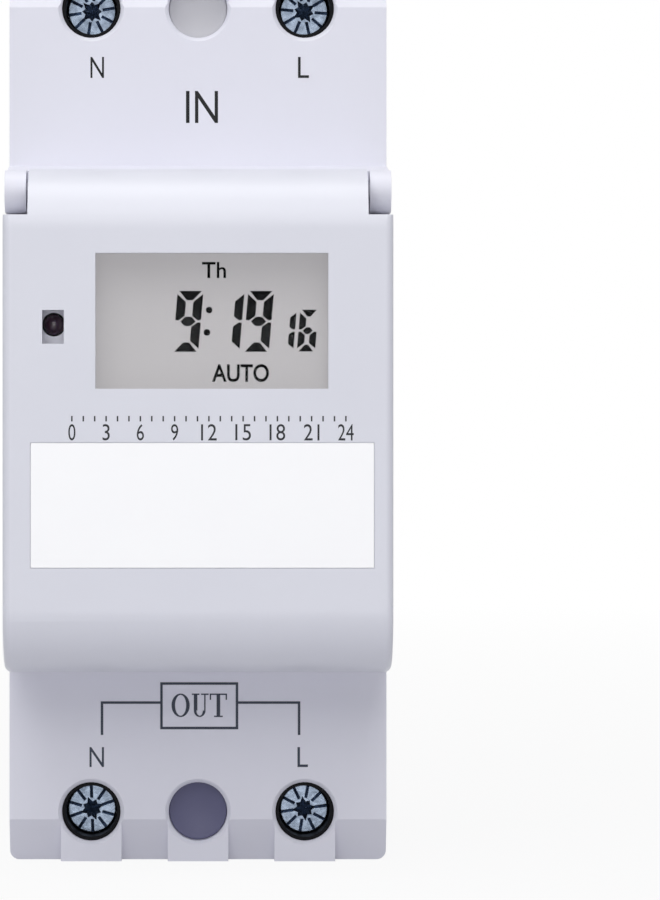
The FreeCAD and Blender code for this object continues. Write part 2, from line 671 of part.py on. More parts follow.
# Front shell: both terminal shoulders, and the platform that carries the display and keys.
def make_front_housing():
    body = new_body("front_housing")
    outline = front_sketch(body, "Outline", "joint_depth")
    add_rectangle(outline, f"-{HALF}", HALF, "0", "body_height")
    pad(body, outline, "shoulder_depth - joint_depth")
    round_corners(body, "joint_depth", "shoulder_depth")

    platform = side_sketch(body, "Platform")
    add_polygon(platform, [
        (at("shoulder_depth"), "platform_bottom"), (at("step_depth"), "platform_bottom"),
        (at("step_depth"), "platform_end"), (at("lip_depth"), "platform_end"),
        (at("lip_depth"), "lip_top"), (at("shoulder_depth"), "platform_top")])
    pad(body, platform, "body_width", symmetric=True)
    raised = front_sketch(body, "RaisedPart", "step_depth")
    add_rectangle(raised, f"-{NARROW_X}", NARROW_X, NARROW_LOW, "platform_end")
    pad(body, raised, "platform_depth - step_depth")
    front, low = value(at("platform_depth")), value(NARROW_LOW)
    dress(body, "Fillet", "PlatformCurve", "Radius", "platform_round",
          lambda edge: spans(edge, y=(front, front), z=(low, low)))

    for side, turned in (("-1", True), ("1", False)):
        word = "Right" if side == "1" else "Left"
        stem = side_sketch(body, f"{word}EarStem", f"({side}) * {EAR_X}")
        add_rectangle(stem, at("hinge_depth"), at("lip_depth"),
                      "hinge_height - ear_radius", "hinge_height + ear_radius")
        pad(body, stem, "ear_width", turned=turned)
        ear = side_sketch(body, f"{word}Ear", f"({side}) * {EAR_X}")
        add_circle(ear, at("hinge_depth"), "hinge_height", "ear_radius")
        pad(body, ear, "ear_width", turned=turned)
        socket = side_sketch(body, f"{word}Socket", f"({side}) * {EAR_X}")
        add_circle(socket, at("hinge_depth"), "hinge_height", "pin_radius + pin_fit")
        pocket(body, socket, "pin_length - ear_gap + pin_fit * 2", turned=(side == "1"))

    hollow_front_housing(body)
    make_terminal_hollows(body)
    make_screw_bosses(body)
    open_platform(body)
    bevel_hole_rims(body)
    bevel_ends(body)


def hollow_front_housing(body):
    shoulder = front_sketch(body, "ShoulderHollow", "joint_depth")
    add_rectangle(shoulder, f"-{INNER_X}", INNER_X, BEAM_END, f"body_height - {BEAM_END}")
    pocket(body, shoulder, "shoulder_depth - front_wall - joint_depth", turned=True)
    low = "(platform_bottom + side_wall)"
    high = "(platform_end - front_wall)"
    ledge = front_sketch(body, "PlatformHollow", "joint_depth")
    add_rectangle(ledge, f"-{INNER_X}", INNER_X, low, high)
    pocket(body, ledge, f"{LEDGE_DEPTH} - joint_depth", turned=True)
    behind_hinge = front_sketch(body, "HingeHollow", "joint_depth")
    add_rectangle(behind_hinge, f"-{INNER_X}", INNER_X, high, "lip_top - front_wall")
    pocket(body, behind_hinge, "lip_depth - front_wall - joint_depth", turned=True)
    narrow = front_sketch(body, "NarrowHollow", "joint_depth")
    half = f"({NARROW_X} - ledge_width)"
    add_rectangle(narrow, f"-{half}", half, f"{NARROW_LOW} + ledge_width", high)
    pocket(body, narrow, f"{WALL_BACK} - joint_depth", turned=True)


def make_terminal_hollows(body):
    chambers = front_sketch(body, "CageHollows", "joint_depth")
    middles = front_sketch(body, "MiddleHollows", "joint_depth")
    wells = front_sketch(body, "ScrewHoles", "shoulder_depth")
    blind = front_sketch(body, "BlindWells", "shoulder_depth")
    for end, start, way in ENDS:
        near = from_end(start, way, "end_wall")
        far = from_end(start, way, "chamber_end")
        middle = from_end(start, way, "terminal_end")
        for _, sign in SIDES:
            x = f"({sign}) * terminal_x"
            add_rectangle(chambers, f"{x} - chamber_width / 2", f"{x} + chamber_width / 2", near, far)
            add_circle(wells, x, middle, "screw_hole_radius")
        add_rectangle(middles, "-rib_half", "rib_half", near, far)
        add_circle(blind, "0", middle, "screw_hole_radius")
    pocket(body, chambers, "chamber_roof - joint_depth", turned=True)
    pocket(body, middles, "middle_roof - joint_depth", turned=True)
    pocket(body, wells, "shoulder_depth - chamber_roof")
    pocket(body, blind, "well_depth")

    half_bar = "(bar_width / 2 + bar_fit)"
    wire_top = "bar_depth"
    for end, start, way in ENDS:
        upward = way == "1"
        slots = end_sketch(body, f"BarSlots_{end}", from_end(start, way, "chamber_end"))
        entries = end_sketch(body, f"WireEntries_{end}", start)
        dummy = end_sketch(body, f"BlindEntry_{end}", start)
        for _, sign in SIDES:
            x = f"({sign}) * terminal_x"
            add_rectangle(slots, f"{x} - {half_bar}", f"{x} + {half_bar}",
                          at(f"{BAR_FRONT} + bar_fit"), at("joint_depth"))
            add_rectangle(entries, f"{x} - wire_width / 2", f"{x} + wire_width / 2",
                          at(wire_top), at("bar_depth - wire_height"))
        add_rectangle(dummy, "-wire_width / 2", "wire_width / 2",
                      at(wire_top), at("bar_depth - wire_height"))
        pocket(body, slots, "chamber_wall", turned=upward)
        pocket(body, entries, "end_wall", turned=upward)
        pocket(body, dummy, "blind_entry", turned=upward)


def make_screw_bosses(body):
    bosses = front_sketch(body, "ScrewBosses", "joint_depth")
    holes = front_sketch(body, "ScrewThreads", "joint_depth")
    for x, z in shell_screws():
        add_circle(bosses, x, z, "shell_post_radius")
        add_circle(holes, x, z, "shell_screw_radius + shell_screw_fit")
    pad(body, bosses, "shoulder_depth - front_wall - joint_depth")
    pocket(body, holes, "shell_screw_bite + seam_bevel", turned=True)


def key_places():
    """Centres of the eight keys, in two rows of four."""
    for row in (1, 0):
        for column in range(KEY_COLUMNS):
            x = f"({column} - {(KEY_COLUMNS - 1) / 2}) * key_pitch_x"
            z = f"key_middle_z + ({row} - 0.5) * key_pitch_z"
            yield x, z


def window_box(margin):
    """The display window's edges, widened by a margin."""
    return (f"(window_x - window_width / 2 - {margin})", f"(window_x + window_width / 2 + {margin})",
            f"(window_z - window_height / 2 - {margin})", f"(window_z + window_height / 2 + {margin})")


def open_platform(body):
    seat = front_sketch(body, "PaneSeat", "platform_depth")
    add_rectangle(seat, *window_box("(pane_margin + pane_fit)"))
    pocket(body, seat, "pane_thick")
    opening = front_sketch(body, "DisplayOpening", "platform_depth")
    add_rectangle(opening, *window_box("opening_margin"))
    pocket(body, opening, "front_wall")
    holes = front_sketch(body, "KeyHoles", "platform_depth")
    for x, z in key_places():
        add_circle(holes, x, z, "key_radius + key_fit")
    pocket(body, holes, "front_wall")
    lamp = front_sketch(body, "LampHole", "platform_depth")
    add_circle(lamp, "lamp_x", "lamp_z", "lamp_radius + lamp_fit")
    pocket(body, lamp, "front_wall")


def bevel_ends(body):
    """Slope the ends of the shoulders, but not the columns over the terminals."""
    half_column = "(column_width / 2)"
    columns = ["-terminal_x", "0", "terminal_x"]
    starts = [f"-{HALF} - cut_spare"] + [f"{x} + {half_column}" for x in columns]
    stops = [f"{x} - {half_column}" for x in columns] + [f"{HALF} + cut_spare"]
    for end, start, way in ENDS:
        length = "bevel_length" if end == "out" else "upper_bevel_length"
        for gap, (left, right) in enumerate(zip(starts, stops)):
            wedge = side_sketch(body, f"Bevel_{end}_{gap}", right)
            add_polygon(wedge, [
                (at("shoulder_depth"), from_end(start, way, length)),
                (at("shoulder_depth + cut_spare"), from_end(start, way, length)),
                (at("shoulder_depth + cut_spare"), from_end(start, way, "-cut_spare")),
                (at("shoulder_depth - bevel_drop"), from_end(start, way, "-cut_spare")),
                (at("shoulder_depth - bevel_drop"), start)])
            pocket(body, wedge, f"({right}) - ({left})")


def bevel_hole_rims(body):
    front = value(at("shoulder_depth"))
    radius = value("screw_hole_radius")

    def is_rim(edge):
        circle = edge.Curve
        if not isinstance(circle, Part.Circle) or abs(circle.Radius - radius) > CLOSE:
            return False
        return abs(edge.BoundBox.YMin - front) < CLOSE and edge.BoundBox.YLength < CLOSE

    dress(body, "Chamfer", "HoleRims", "Size", "hole_rim", is_rim)


# Front cover: a thin tray with a window, hinged at its top on two moulded pins.
def make_flip_cover():
    body = new_body("flip_cover")
    skirt = "(step_depth + cover_gap)"
    barrel_top = "(hinge_height + barrel_radius)"
    outside = side_sketch(body, "Outside")
    add_rectangle(outside, at("face_depth"), at(skirt), "cover_bottom", barrel_top)
    pad(body, outside, "body_width", symmetric=True)

    inside = side_sketch(body, "Inside")
    inner_face = at("face_depth - cover_wall")
    add_rectangle(inside, inner_face, at(f"{skirt} - cut_spare"), "cover_bottom + cover_wall",
                  f"{barrel_top} - cover_wall")
    pocket(body, inside, "body_width - 2 * cover_wall", symmetric=True)
    inner_y = value(inner_face)
    inner_width = value("body_width - 2 * cover_wall")
    dress(body, "Fillet", "InnerCurves", "Radius", "cover_round - cover_wall", lambda edge: spans(
        edge, y=(inner_y, inner_y)) and abs(edge.BoundBox.XLength - inner_width) < CLOSE)
    face_y = value(at("face_depth"))
    dress(body, "Fillet", "OuterCurves", "Radius", "cover_round", lambda edge: spans(
        edge, y=(face_y, face_y)) and edge.BoundBox.XLength > value("body_width") - CLOSE)

    for side in ("-1", "1"):
        notch = side_sketch(body, f"EarNotch{'Right' if side == '1' else 'Left'}",
                            f"({side}) * ({EAR_X} - ear_gap)")
        add_rectangle(notch, at("face_depth + cut_spare"), at(f"{skirt} - cut_spare"),
                      "platform_end", f"{barrel_top} + cut_spare")
        pocket(body, notch, "ear_width + ear_gap + cut_spare", turned=(side == "1"))
    behind = side_sketch(body, "BehindHinge")
    add_rectangle(behind, at("hinge_depth"), at(f"{skirt} - cut_spare"),
                  "platform_end", f"{barrel_top} + cut_spare")
    pocket(body, behind, "body_width + 2 * cut_spare", symmetric=True)
    soften_cover_edges(body)

    barrel = side_sketch(body, "Barrel")
    add_circle(barrel, at("hinge_depth"), "hinge_height", "barrel_radius")
    pad(body, barrel, f"2 * ({EAR_X} - ear_gap)", symmetric=True)
    pins = side_sketch(body, "Pins")
    add_circle(pins, at("hinge_depth"), "hinge_height", "pin_radius")
    pad(body, pins, f"2 * ({EAR_X} - ear_gap + pin_length)", symmetric=True)

    window = front_sketch(body, "Window", "face_depth")
    add_rectangle(window, *window_box("0"))
    pocket(body, window, "cover_wall")
    lamp = front_sketch(body, "LampSlot", "face_depth")
    middle = "(lamp_z + lamp_slot_shift)"
    add_rectangle(lamp, "lamp_x - lamp_slot_width / 2", "lamp_x + lamp_slot_width / 2",
                  f"{middle} - lamp_slot_height / 2", f"{middle} + lamp_slot_height / 2")
    pocket(body, lamp, "cover_wall")
    seat = front_sketch(body, "LabelSeat", "face_depth")
    add_rectangle(seat, *label_box("label_fit"))
    pocket(body, seat, "label_thick")


def soften_cover_edges(body):
    """Round the outer side edges of the face and of both curves."""
    half = value(HALF)
    skirt_y = value(at("step_depth + cover_gap"))

    def at_side(edge):
        box = edge.BoundBox
        sideways = box.XLength < CLOSE and abs(abs(box.XMin) - half) < CLOSE
        under_ear = box.ZLength < CLOSE and abs(box.ZMin - value("platform_end")) < CLOSE
        at_skirt = abs(box.YMin - skirt_y) < CLOSE
        return sideways and not under_ear and not at_skirt

    dress(body, "Fillet", "SideEdges", "Radius", "cover_edge_round", at_side)


def label_box(margin):
    """The label's edges, widened by a margin."""
    return (f"(label_x - label_width / 2 - {margin})", f"(label_x + label_width / 2 + {margin})",
            f"(label_z - label_height / 2 - {margin})", f"(label_z + label_height / 2 + {margin})")


make_rear_base()
make_front_housing()
make_flip_cover()


def make_blank_label():
    """The thin plain plate set into the cover."""
    x_low, x_high, z_low, z_high = label_box("0")
    plate = block("blank_label", x_low, x_high, "face_depth - label_thick", "face_depth", z_low, z_high)
    plate.Label = "blank_label"


def make_shell_screws():
    """Four screws pass from the feet through the rear shell into the front shell."""
    seat = "(shell_head_sink - rear_depth)"
    screws = []
    for number, (x, z) in enumerate(shell_screws()):
        head = rod(f"shell_head_{number}", "shell_head_radius", x, z,
                   f"{seat} - shell_head_thick", seat)
        shank = rod(f"shell_shank_{number}", "shell_screw_radius", x, z,
                    seat, "joint_depth + shell_screw_bite")
        whole = joined(f"shell_screw_{number}", [head, shank])
        slots = cross_slots(f"shell_{number}", x, z, f"{seat} - shell_head_thick",
                            f"{seat} - shell_head_thick + drive_depth", "drive_width", "shell_drive_length")
        screws.append(cut(f"shell_screw_{number}_driven", whole, slots))
    group("shell_screws", screws)


def cross_slots(name, x, z, depth_low, depth_high, width, length):
    """The two crossed slots of a screw's drive."""
    wide = block(f"{name}_slot_wide", f"{x} - {length} / 2", f"{x} + {length} / 2",
                 depth_low, depth_high, f"{z} - {width} / 2", f"{z} + {width} / 2")
    tall = block(f"{name}_slot_tall", f"{x} - {width} / 2", f"{x} + {width} / 2",
                 depth_low, depth_high, f"{z} - {length} / 2", f"{z} + {length} / 2")
    return [wide, tall]


# Terminals: a screw lifts a cage that clamps the wire against a fixed bar.
def make_terminal_screw(name, x, z):
    head_back = "(chamber_roof + head_gap)"
    head_front = f"({head_back} + head_height)"
    head = rod(f"head_{name}", "head_radius", x, z, head_back, head_front)
    shank = rod(f"shank_{name}", "screw_radius", x, z, BAR_FRONT, head_back)
    whole = joined(f"plain_screw_{name}", [head, shank])
    slots = cross_slots(f"drive_{name}", x, z, f"{head_front} - drive_depth", head_front,
                        "drive_width", "drive_length")
    cut(f"terminal_screw_{name}", whole, slots)


def make_terminal_cage(name, x, z):
    jaw = "(bar_depth - cage_space)"
    inner = "(cage_width / 2 - cage_side)"
    roof = f"({BAR_FRONT} + cage_gap)"
    outside = block(f"cage_block_{name}", f"{x} - cage_width / 2", f"{x} + cage_width / 2",
                    f"{jaw} - cage_floor", f"{roof} + cage_roof",
                    f"{z} - cage_length / 2", f"{z} + cage_length / 2")
    inside = block(f"cage_room_{name}", f"{x} - {inner}", f"{x} + {inner}", jaw, roof,
                   f"{z} - cage_length / 2 - cut_spare", f"{z} + cage_length / 2 + cut_spare")
    thread = rod(f"cage_thread_{name}", "screw_radius + screw_fit", x, z,
                 f"{roof} - cut_spare", f"{roof} + cage_roof + cut_spare")
    cut(f"terminal_cage_{name}", outside, [inside, thread])


def make_terminals():
    bars = []
    for name, x, start, way in terminals():
        z = from_end(start, way, "terminal_end")
        make_terminal_screw(name, x, z)
        make_terminal_cage(name, x, z)
        low, high = sorted_ends(start, way, "end_wall", "bar_end")
        bars.append(block(f"bar_{name}", f"{x} - bar_width / 2", f"{x} + bar_width / 2",
                          "bar_depth", BAR_FRONT, low, high))
    group("clamp_bars", bars)


def sorted_ends(start, way, near, far):
    """Lower and higher z of a stretch measured in from one end."""
    ends = (from_end(start, way, near), from_end(start, way, far))
    return ends if way == "1" else ends[::-1]


def make_neutral_strap():
    """One strap along the left wall joins both neutral bars."""
    wall_x = f"(strap_wall_gap - {INNER_X})"
    pieces = [block("neutral_run", wall_x, f"{wall_x} + strap_thick",
                    "bar_depth - strap_width", "bar_depth",
                    f"{BEAM_END} + strap_gap", f"body_height - {BEAM_END} - strap_gap")]
    for end, start, way in ENDS:
        low, high = sorted_ends(start, way, f"{BEAM_END} + strap_gap", "bar_end")
        pieces.append(block(f"neutral_tab_{end}", wall_x, "bar_width / 2 - terminal_x",
                            "bar_depth - strap_thick", "bar_depth", low, high))
    joined("neutral_strap", pieces)


def make_live_straps():
    """A bent strap takes each live bar down to the power board."""
    for end, start, way in ENDS:
        half = "strap_width / 2"
        low, high = sorted_ends(start, way, f"{BEAM_END} + strap_gap", "bar_end + strap_thick")
        tab = block(f"live_tab_{end}", f"terminal_x - {half}", f"terminal_x + {half}",
                    "bar_depth - strap_thick", "bar_depth", low, high)
        low, high = sorted_ends(start, way, "bar_end", "bar_end + strap_thick")
        leg = block(f"live_leg_{end}", f"terminal_x - {half}", f"terminal_x + {half}",
                    POWER_FRONT, "bar_depth", low, high)
        joined(f"live_strap_{end}", [tab, leg])


# Rail clip: a latch slides down in the foot against a coil spring.
def make_din_latch():
    body = new_body("din_latch")
    rail_low = "(rail_centre - rail_width / 2)"
    nose = f"({rail_low} + latch_reach)"
    profile = side_sketch(body, "Profile")
    add_polygon(profile, [
        (at("-rail_grip"), "latch_tail"), (at("-rail_grip"), nose),
        (at(f"-{LATCH_BACK}"), rail_low), (at(f"-{LATCH_BACK}"), "latch_tail")])
    pad(body, profile, "latch_width", symmetric=True)
    window = front_sketch(body, "SpringWindow", "-rail_grip")
    add_rectangle(window, "-latch_window_width / 2", "latch_window_width / 2",
                  "latch_window_low", "latch_window_top")
    pocket(body, window, "latch_thick")
    pull = front_sketch(body, "PullHole", "-rail_grip")
    pull_low = "(latch_tail + pull_margin)"
    add_rectangle(pull, "-pull_width / 2", "pull_width / 2", pull_low, f"{pull_low} + pull_height")
    pocket(body, pull, "latch_thick")


def make_latch_spring():
    """The closed sleeve that the spring's turns fill."""
    middle = "-(rail_grip + latch_thick / 2)"
    low = f"({PEG_LOW} + peg_height)"
    outside = up_rod("spring_outside", "spring_diameter / 2", "0", middle, low, "latch_window_top")
    inside = up_rod("spring_inside", "spring_diameter / 2 - spring_wire", "0", middle,
                    low, "latch_window_top")
    cut("latch_spring", outside, [inside])


# Display, lamp and keys on the control board.
def make_display():
    x_low, x_high, z_low, z_high = window_box("pane_margin")
    pane = block("display_window", x_low, x_high, "platform_depth - pane_thick",
                 "platform_depth", z_low, z_high)
    pane.Label = "display_window"

    glass_front = f"({WALL_BACK} - glass_gap)"
    glass_back = f"({glass_front} - glass_thick)"
    x_low, x_high, z_low, z_high = window_box("glass_margin")
    glass = block("lcd_panel", x_low, x_high, glass_back, glass_front, z_low, z_high)
    glass.Label = "lcd_panel"

    outer = window_box("(glass_margin + frame_fit + frame_wall)")
    inner = window_box("(glass_margin + frame_fit)")
    outside = block("frame_outside", outer[0], outer[1], LEDGE_DEPTH, WALL_BACK, outer[2], outer[3])
    inside = block("frame_inside", inner[0], inner[1], f"{LEDGE_DEPTH} - cut_spare",
                   f"{WALL_BACK} + cut_spare", inner[2], inner[3])
    cut("lcd_frame", outside, [inside])

    strip_low = f"{x_low} + strip_inset"
    strip_high = f"{x_high} - strip_inset"
    lower = block("strip_lower", strip_low, strip_high, LEDGE_DEPTH, glass_back,
                  f"{z_low} + strip_inset", f"{z_low} + strip_inset + strip_width")
    upper = block("strip_upper", strip_low, strip_high, LEDGE_DEPTH, glass_back,
                  f"{z_high} - strip_inset - strip_width", f"{z_high} - strip_inset")
    group("contact_strips", [lower, upper])


def make_status_lamp():
    top = "(platform_depth + lamp_rise - lamp_radius)"
    stem = rod("lamp_stem", "lamp_radius", "lamp_x", "lamp_z", f"{top} - lamp_body", top)
    dome = doc.addObject("Part::Sphere", "lamp_dome")
    bind(dome, "Radius", "lamp_radius")
    place_rod(dome, "lamp_x", top, "lamp_z", FreeCAD.Rotation())
    pieces = [stem, dome]
    for side in ("-1", "1"):
        x = f"(lamp_x + ({side}) * lamp_radius / 2)"
        pieces.append(block(f"lamp_lead_{'right' if side == '1' else 'left'}",
                            f"{x} - lead_width / 2", f"{x} + lead_width / 2",
                            LEDGE_DEPTH, f"{top} - lamp_body",
                            "lamp_z - lead_width / 2", "lamp_z + lead_width / 2"))
    joined("status_lamp", pieces)


def make_keys():
    flange_front = f"({WALL_BACK} - key_flange_gap)"
    flange_back = f"({flange_front} - key_flange_thick)"
    switch_front = f"({LEDGE_DEPTH} + switch_height)"
    well_floor = f"({switch_front} - switch_well)"
    switches = []
    for number, (x, z) in enumerate(key_places(), 1):
        cap = rod(f"cap_{number}", "key_radius", x, z, flange_front, "platform_depth + key_rise")
        flange = rod(f"flange_{number}", "key_radius + key_flange", x, z, flange_back, flange_front)
        stem = rod(f"stem_{number}", "stem_radius", x, z,
                   f"{well_floor} + key_travel + key_spare", flange_back)
        joined(f"key_{number}", [cap, flange, stem])
        half = "switch_size / 2"
        case = block(f"switch_case_{number}", f"{x} - {half}", f"{x} + {half}",
                     LEDGE_DEPTH, switch_front, f"{z} - {half}", f"{z} + {half}")
        well = rod(f"switch_well_{number}", "stem_radius + stem_fit", x, z,
                   well_floor, f"{switch_front} + cut_spare")
        switches.append(cut(f"switch_{number}", case, [well]))
    group("push_switches", switches)


def box_on(name, x, z, width, length, depth_low, depth_high):
    """A labelled block centred on a board."""
    thing = block(name, f"{x} - {width} / 2", f"{x} + {width} / 2", depth_low, depth_high,
                  f"{z} - {length} / 2", f"{z} + {length} / 2")
    thing.Label = name
    return thing


def make_control_board():
    half = f"({INNER_X} - board_play)"
    board = block("control_board", f"-{half}", half, CONTROL_BACK, LEDGE_DEPTH,
                  "platform_bottom + side_wall + board_play", "platform_end - front_wall - board_play")
    board.Label = "control_board"
    box_on("timer_chip", "chip_x", "chip_z", "chip_size", "chip_size",
           f"{CONTROL_BACK} - chip_thick", CONTROL_BACK)
    crystal = cross_rod("clock_crystal", "crystal_radius", "chip_x - crystal_length / 2",
                        "chip_x + crystal_length / 2", f"{CONTROL_BACK} - crystal_radius", "crystal_z")
    crystal.Label = "clock_crystal"
    battery = rod("backup_battery", "battery_radius", "battery_x", "battery_z",
                  f"{CONTROL_BACK} - battery_thick", CONTROL_BACK)
    battery.Label = "backup_battery"
    box_on("board_link", "link_x", "link_z", "link_thick", "link_width", POWER_FRONT, CONTROL_BACK)


# Power board in the rear shell, with the parts that feed the clock and switch the load.
def make_power_board():
    half = f"({INNER_X} - board_play)"
    sheet_block = block("power_sheet", f"-{half}", half, "power_depth", POWER_FRONT,
                        "power_end", "body_height - power_end")
    holes = []
    for number, (x, z) in enumerate(shell_screws()):
        holes.append(rod(f"power_hole_{number}", "shell_post_radius + board_play", x, z,
                         "power_depth - cut_spare", f"{POWER_FRONT} + cut_spare"))
    for number, (x, z) in enumerate(BOARD_SCREWS):
        holes.append(rod(f"power_screw_hole_{number}", "board_screw_radius + shell_screw_fit", x, z,
                         "power_depth - cut_spare", f"{POWER_FRONT} + cut_spare"))
    cut("power_board", sheet_block, holes)

    screws = []
    for number, (x, z) in enumerate(BOARD_SCREWS):
        head = rod(f"board_head_{number}", "board_screw_head", x, z,
                   POWER_FRONT, f"{POWER_FRONT} + board_screw_cap")
        shank = rod(f"board_shank_{number}", "board_screw_radius", x, z,
                    "power_depth - board_screw_length", POWER_FRONT)
        screws.append(joined(f"board_screw_{number}", [head, shank]))
    group("board_screws", screws)


def make_power_parts():
    box_on("film_capacitor", "film_x", "film_z", "film_width", "film_length",
           POWER_FRONT, f"{POWER_FRONT} + film_height")
    smoother = rod("smoothing_capacitor", "smoother_radius", "smoother_x", "smoother_z",
                   POWER_FRONT, f"{POWER_FRONT} + smoother_height")
    smoother.Label = "smoothing_capacitor"
    varistor = up_rod("varistor", "varistor_radius", "varistor_x",
                      f"{POWER_FRONT} + varistor_radius",
                      "varistor_z - varistor_thick / 2", "varistor_z + varistor_thick / 2")
    varistor.Label = "varistor"
    diodes = [cross_rod(f"diode_{n}", "diode_radius", "diode_x", "diode_x + diode_length",
                        f"{POWER_FRONT} + diode_radius", f"diode_z + {n} * diode_pitch")
              for n in range(DIODES)]
    group("rectifier_diodes", diodes)
    resistors = [cross_rod(f"resistor_{n}", "resistor_radius", "resistor_x",
                           "resistor_x + resistor_length", f"{POWER_FRONT} + resistor_radius",
                           f"resistor_z + {n} * resistor_pitch")
                 for n in range(RESISTORS)]
    group("resistors", resistors)


def make_relay():
    low, top = POWER_FRONT, f"({POWER_FRONT} + relay_height)"
    wall = "relay_wall"
    outside = box_on("case_outside", "relay_x", "relay_z", "relay_width", "relay_length", low, top)
    inside = box_on("case_inside", "relay_x", "relay_z", f"(relay_width - 2 * {wall})",
                    f"(relay_length - 2 * {wall})", f"{low} - cut_spare", f"{top} - {wall}")
    cut("relay_case", outside, [inside])
    base_front = f"({low} + relay_base_thick)"
    box_on("relay_base", "relay_x", "relay_z", f"(relay_width - 2 * {wall} - 2 * relay_fit)",
           f"(relay_length - 2 * {wall} - 2 * relay_fit)", low, base_front)

    foot_front = f"({base_front} + yoke_thick)"
    yoke_top = f"({foot_front} + yoke_height)"
    half = "yoke_width / 2"
    coil_z = "(relay_z - coil_shift)"
    upright = "(relay_z + yoke_shift)"
    foot = block("yoke_foot", f"relay_x - {half}", f"relay_x + {half}", base_front, foot_front,
                 f"{coil_z} - {half}", f"{upright} + yoke_thick")
    back = block("yoke_upright", f"relay_x - {half}", f"relay_x + {half}", foot_front, yoke_top,
                 upright, f"{upright} + yoke_thick")
    core = rod("yoke_core", "core_radius", "relay_x", coil_z, foot_front, f"{yoke_top} - core_short")
    joined("relay_yoke", [foot, back, core])
    winding = rod("winding", "coil_radius", "relay_x", coil_z,
                  f"{foot_front} + coil_gap", f"{yoke_top} - core_short - coil_gap")
    bore = rod("winding_bore", "core_radius + relay_fit", "relay_x", coil_z,
               foot_front, yoke_top)
    cut("relay_coil", winding, [bore])

    plate_back = f"({yoke_top} + armature_gap)"
    plate_front = f"({plate_back} + armature_thick)"
    hinge_z = f"({upright} + yoke_thick / 2)"
    plate = block("relay_armature", f"relay_x - {half}", f"relay_x + {half}", plate_back, plate_front,
                  f"{hinge_z} - armature_reach", hinge_z)
    plate.Label = "relay_armature"
    arm_front = f"({plate_front} + arm_thick)"
    arm = block("arm_strip", "relay_x - arm_width / 2", "relay_x + arm_width / 2",
                plate_front, arm_front, f"{hinge_z} - arm_overlap", f"{hinge_z} + arm_reach")
    contact_z = f"({hinge_z} + arm_reach - contact_radius)"
    button = rod("arm_button", "contact_radius", "relay_x", contact_z,
                 arm_front, f"{arm_front} + contact_thick")
    joined("relay_contact_arm", [arm, button])
    fixed_back = f"({arm_front} + contact_thick + contact_gap)"
    bracket_back = f"({fixed_back} + contact_thick)"
    post_z = f"({hinge_z} + arm_reach + bracket_gap)"
    fixed = rod("fixed_button", "contact_radius", "relay_x", contact_z, fixed_back, bracket_back)
    shelf = block("bracket_shelf", "relay_x - arm_width / 2", "relay_x + arm_width / 2",
                  bracket_back, f"{bracket_back} + bracket_thick",
                  f"{contact_z} - contact_radius", f"{post_z} + bracket_thick")
    post = block("bracket_post", "relay_x - arm_width / 2", "relay_x + arm_width / 2",
                 base_front, bracket_back, post_z, f"{post_z} + bracket_thick")
    joined("relay_fixed_contact", [fixed, shelf, post])


make_blank_label()
make_shell_screws()
make_terminals()
make_neutral_strap()
make_live_straps()
make_din_latch()
make_latch_spring()
make_display()
make_status_lamp()
make_keys()
make_control_board()
make_power_board()
make_power_parts()
make_relay()
doc.recompute()

NODES = ["rear_base", "front_housing", "flip_cover", "blank_label", "shell_screws",
         "clamp_bars", "neutral_strap", "live_strap_out", "live_strap_in",
         "din_latch", "latch_spring", "display_window", "lcd_panel", "lcd_frame",
         "contact_strips", "status_lamp", "push_switches", "control_board", "timer_chip",
         "clock_crystal", "backup_battery", "board_link", "power_board", "board_screws",
         "film_capacitor", "smoothing_capacitor", "varistor", "rectifier_diodes", "resistors",
         "relay_case", "relay_base", "relay_yoke", "relay_coil", "relay_armature",
         "relay_contact_arm", "relay_fixed_contact"]
NODES += [f"terminal_{kind}_{end}_{side}" for kind in ("screw", "cage")
          for end, _, _ in ENDS for side, _ in SIDES]
NODES += [f"key_{number}" for number in range(1, 9)]

for item in doc.Objects:
    if "Invalid" in item.State or "Error" in item.State:
        raise RuntimeError(f"{item.Name} failed: {item.State}")
by_label = {item.Label: item for item in doc.Objects}
for node in NODES:
    shape = by_label[node].Shape
    if shape.isNull() or not shape.isValid():
        raise RuntimeError(f"{node} has no valid shape")
for node in NODES:
    by_label[node].Shape.exportStep(f"parts/{node}.step")
print(f"{len(NODES)} sub-parts written")
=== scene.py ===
import math

import bmesh
import bpy
from mathutils import Matrix, Vector


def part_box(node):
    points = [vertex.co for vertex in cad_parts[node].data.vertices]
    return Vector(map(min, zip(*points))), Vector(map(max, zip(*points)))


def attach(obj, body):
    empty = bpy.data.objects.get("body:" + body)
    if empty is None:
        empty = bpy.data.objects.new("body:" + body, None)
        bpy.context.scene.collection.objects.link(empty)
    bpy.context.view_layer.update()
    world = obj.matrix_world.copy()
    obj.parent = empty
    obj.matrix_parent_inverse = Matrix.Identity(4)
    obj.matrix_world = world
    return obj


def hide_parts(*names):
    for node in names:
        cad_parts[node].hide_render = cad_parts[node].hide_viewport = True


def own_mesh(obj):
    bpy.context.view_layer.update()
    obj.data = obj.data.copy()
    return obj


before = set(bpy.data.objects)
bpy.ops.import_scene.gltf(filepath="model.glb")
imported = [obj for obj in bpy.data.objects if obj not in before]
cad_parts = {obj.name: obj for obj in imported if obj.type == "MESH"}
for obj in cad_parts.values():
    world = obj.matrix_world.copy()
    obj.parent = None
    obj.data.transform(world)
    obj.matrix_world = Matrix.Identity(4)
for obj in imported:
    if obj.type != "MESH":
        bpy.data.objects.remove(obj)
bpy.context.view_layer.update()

# Rear shell of the housing: a deep tray moulded in one piece of ABS, with the rail recess, the
# fixed hook and the latch guide in its back. Its edges are slightly rounded where the mould
# lets the part go, and its satin skin is a cool off-white.
MM = 0.001


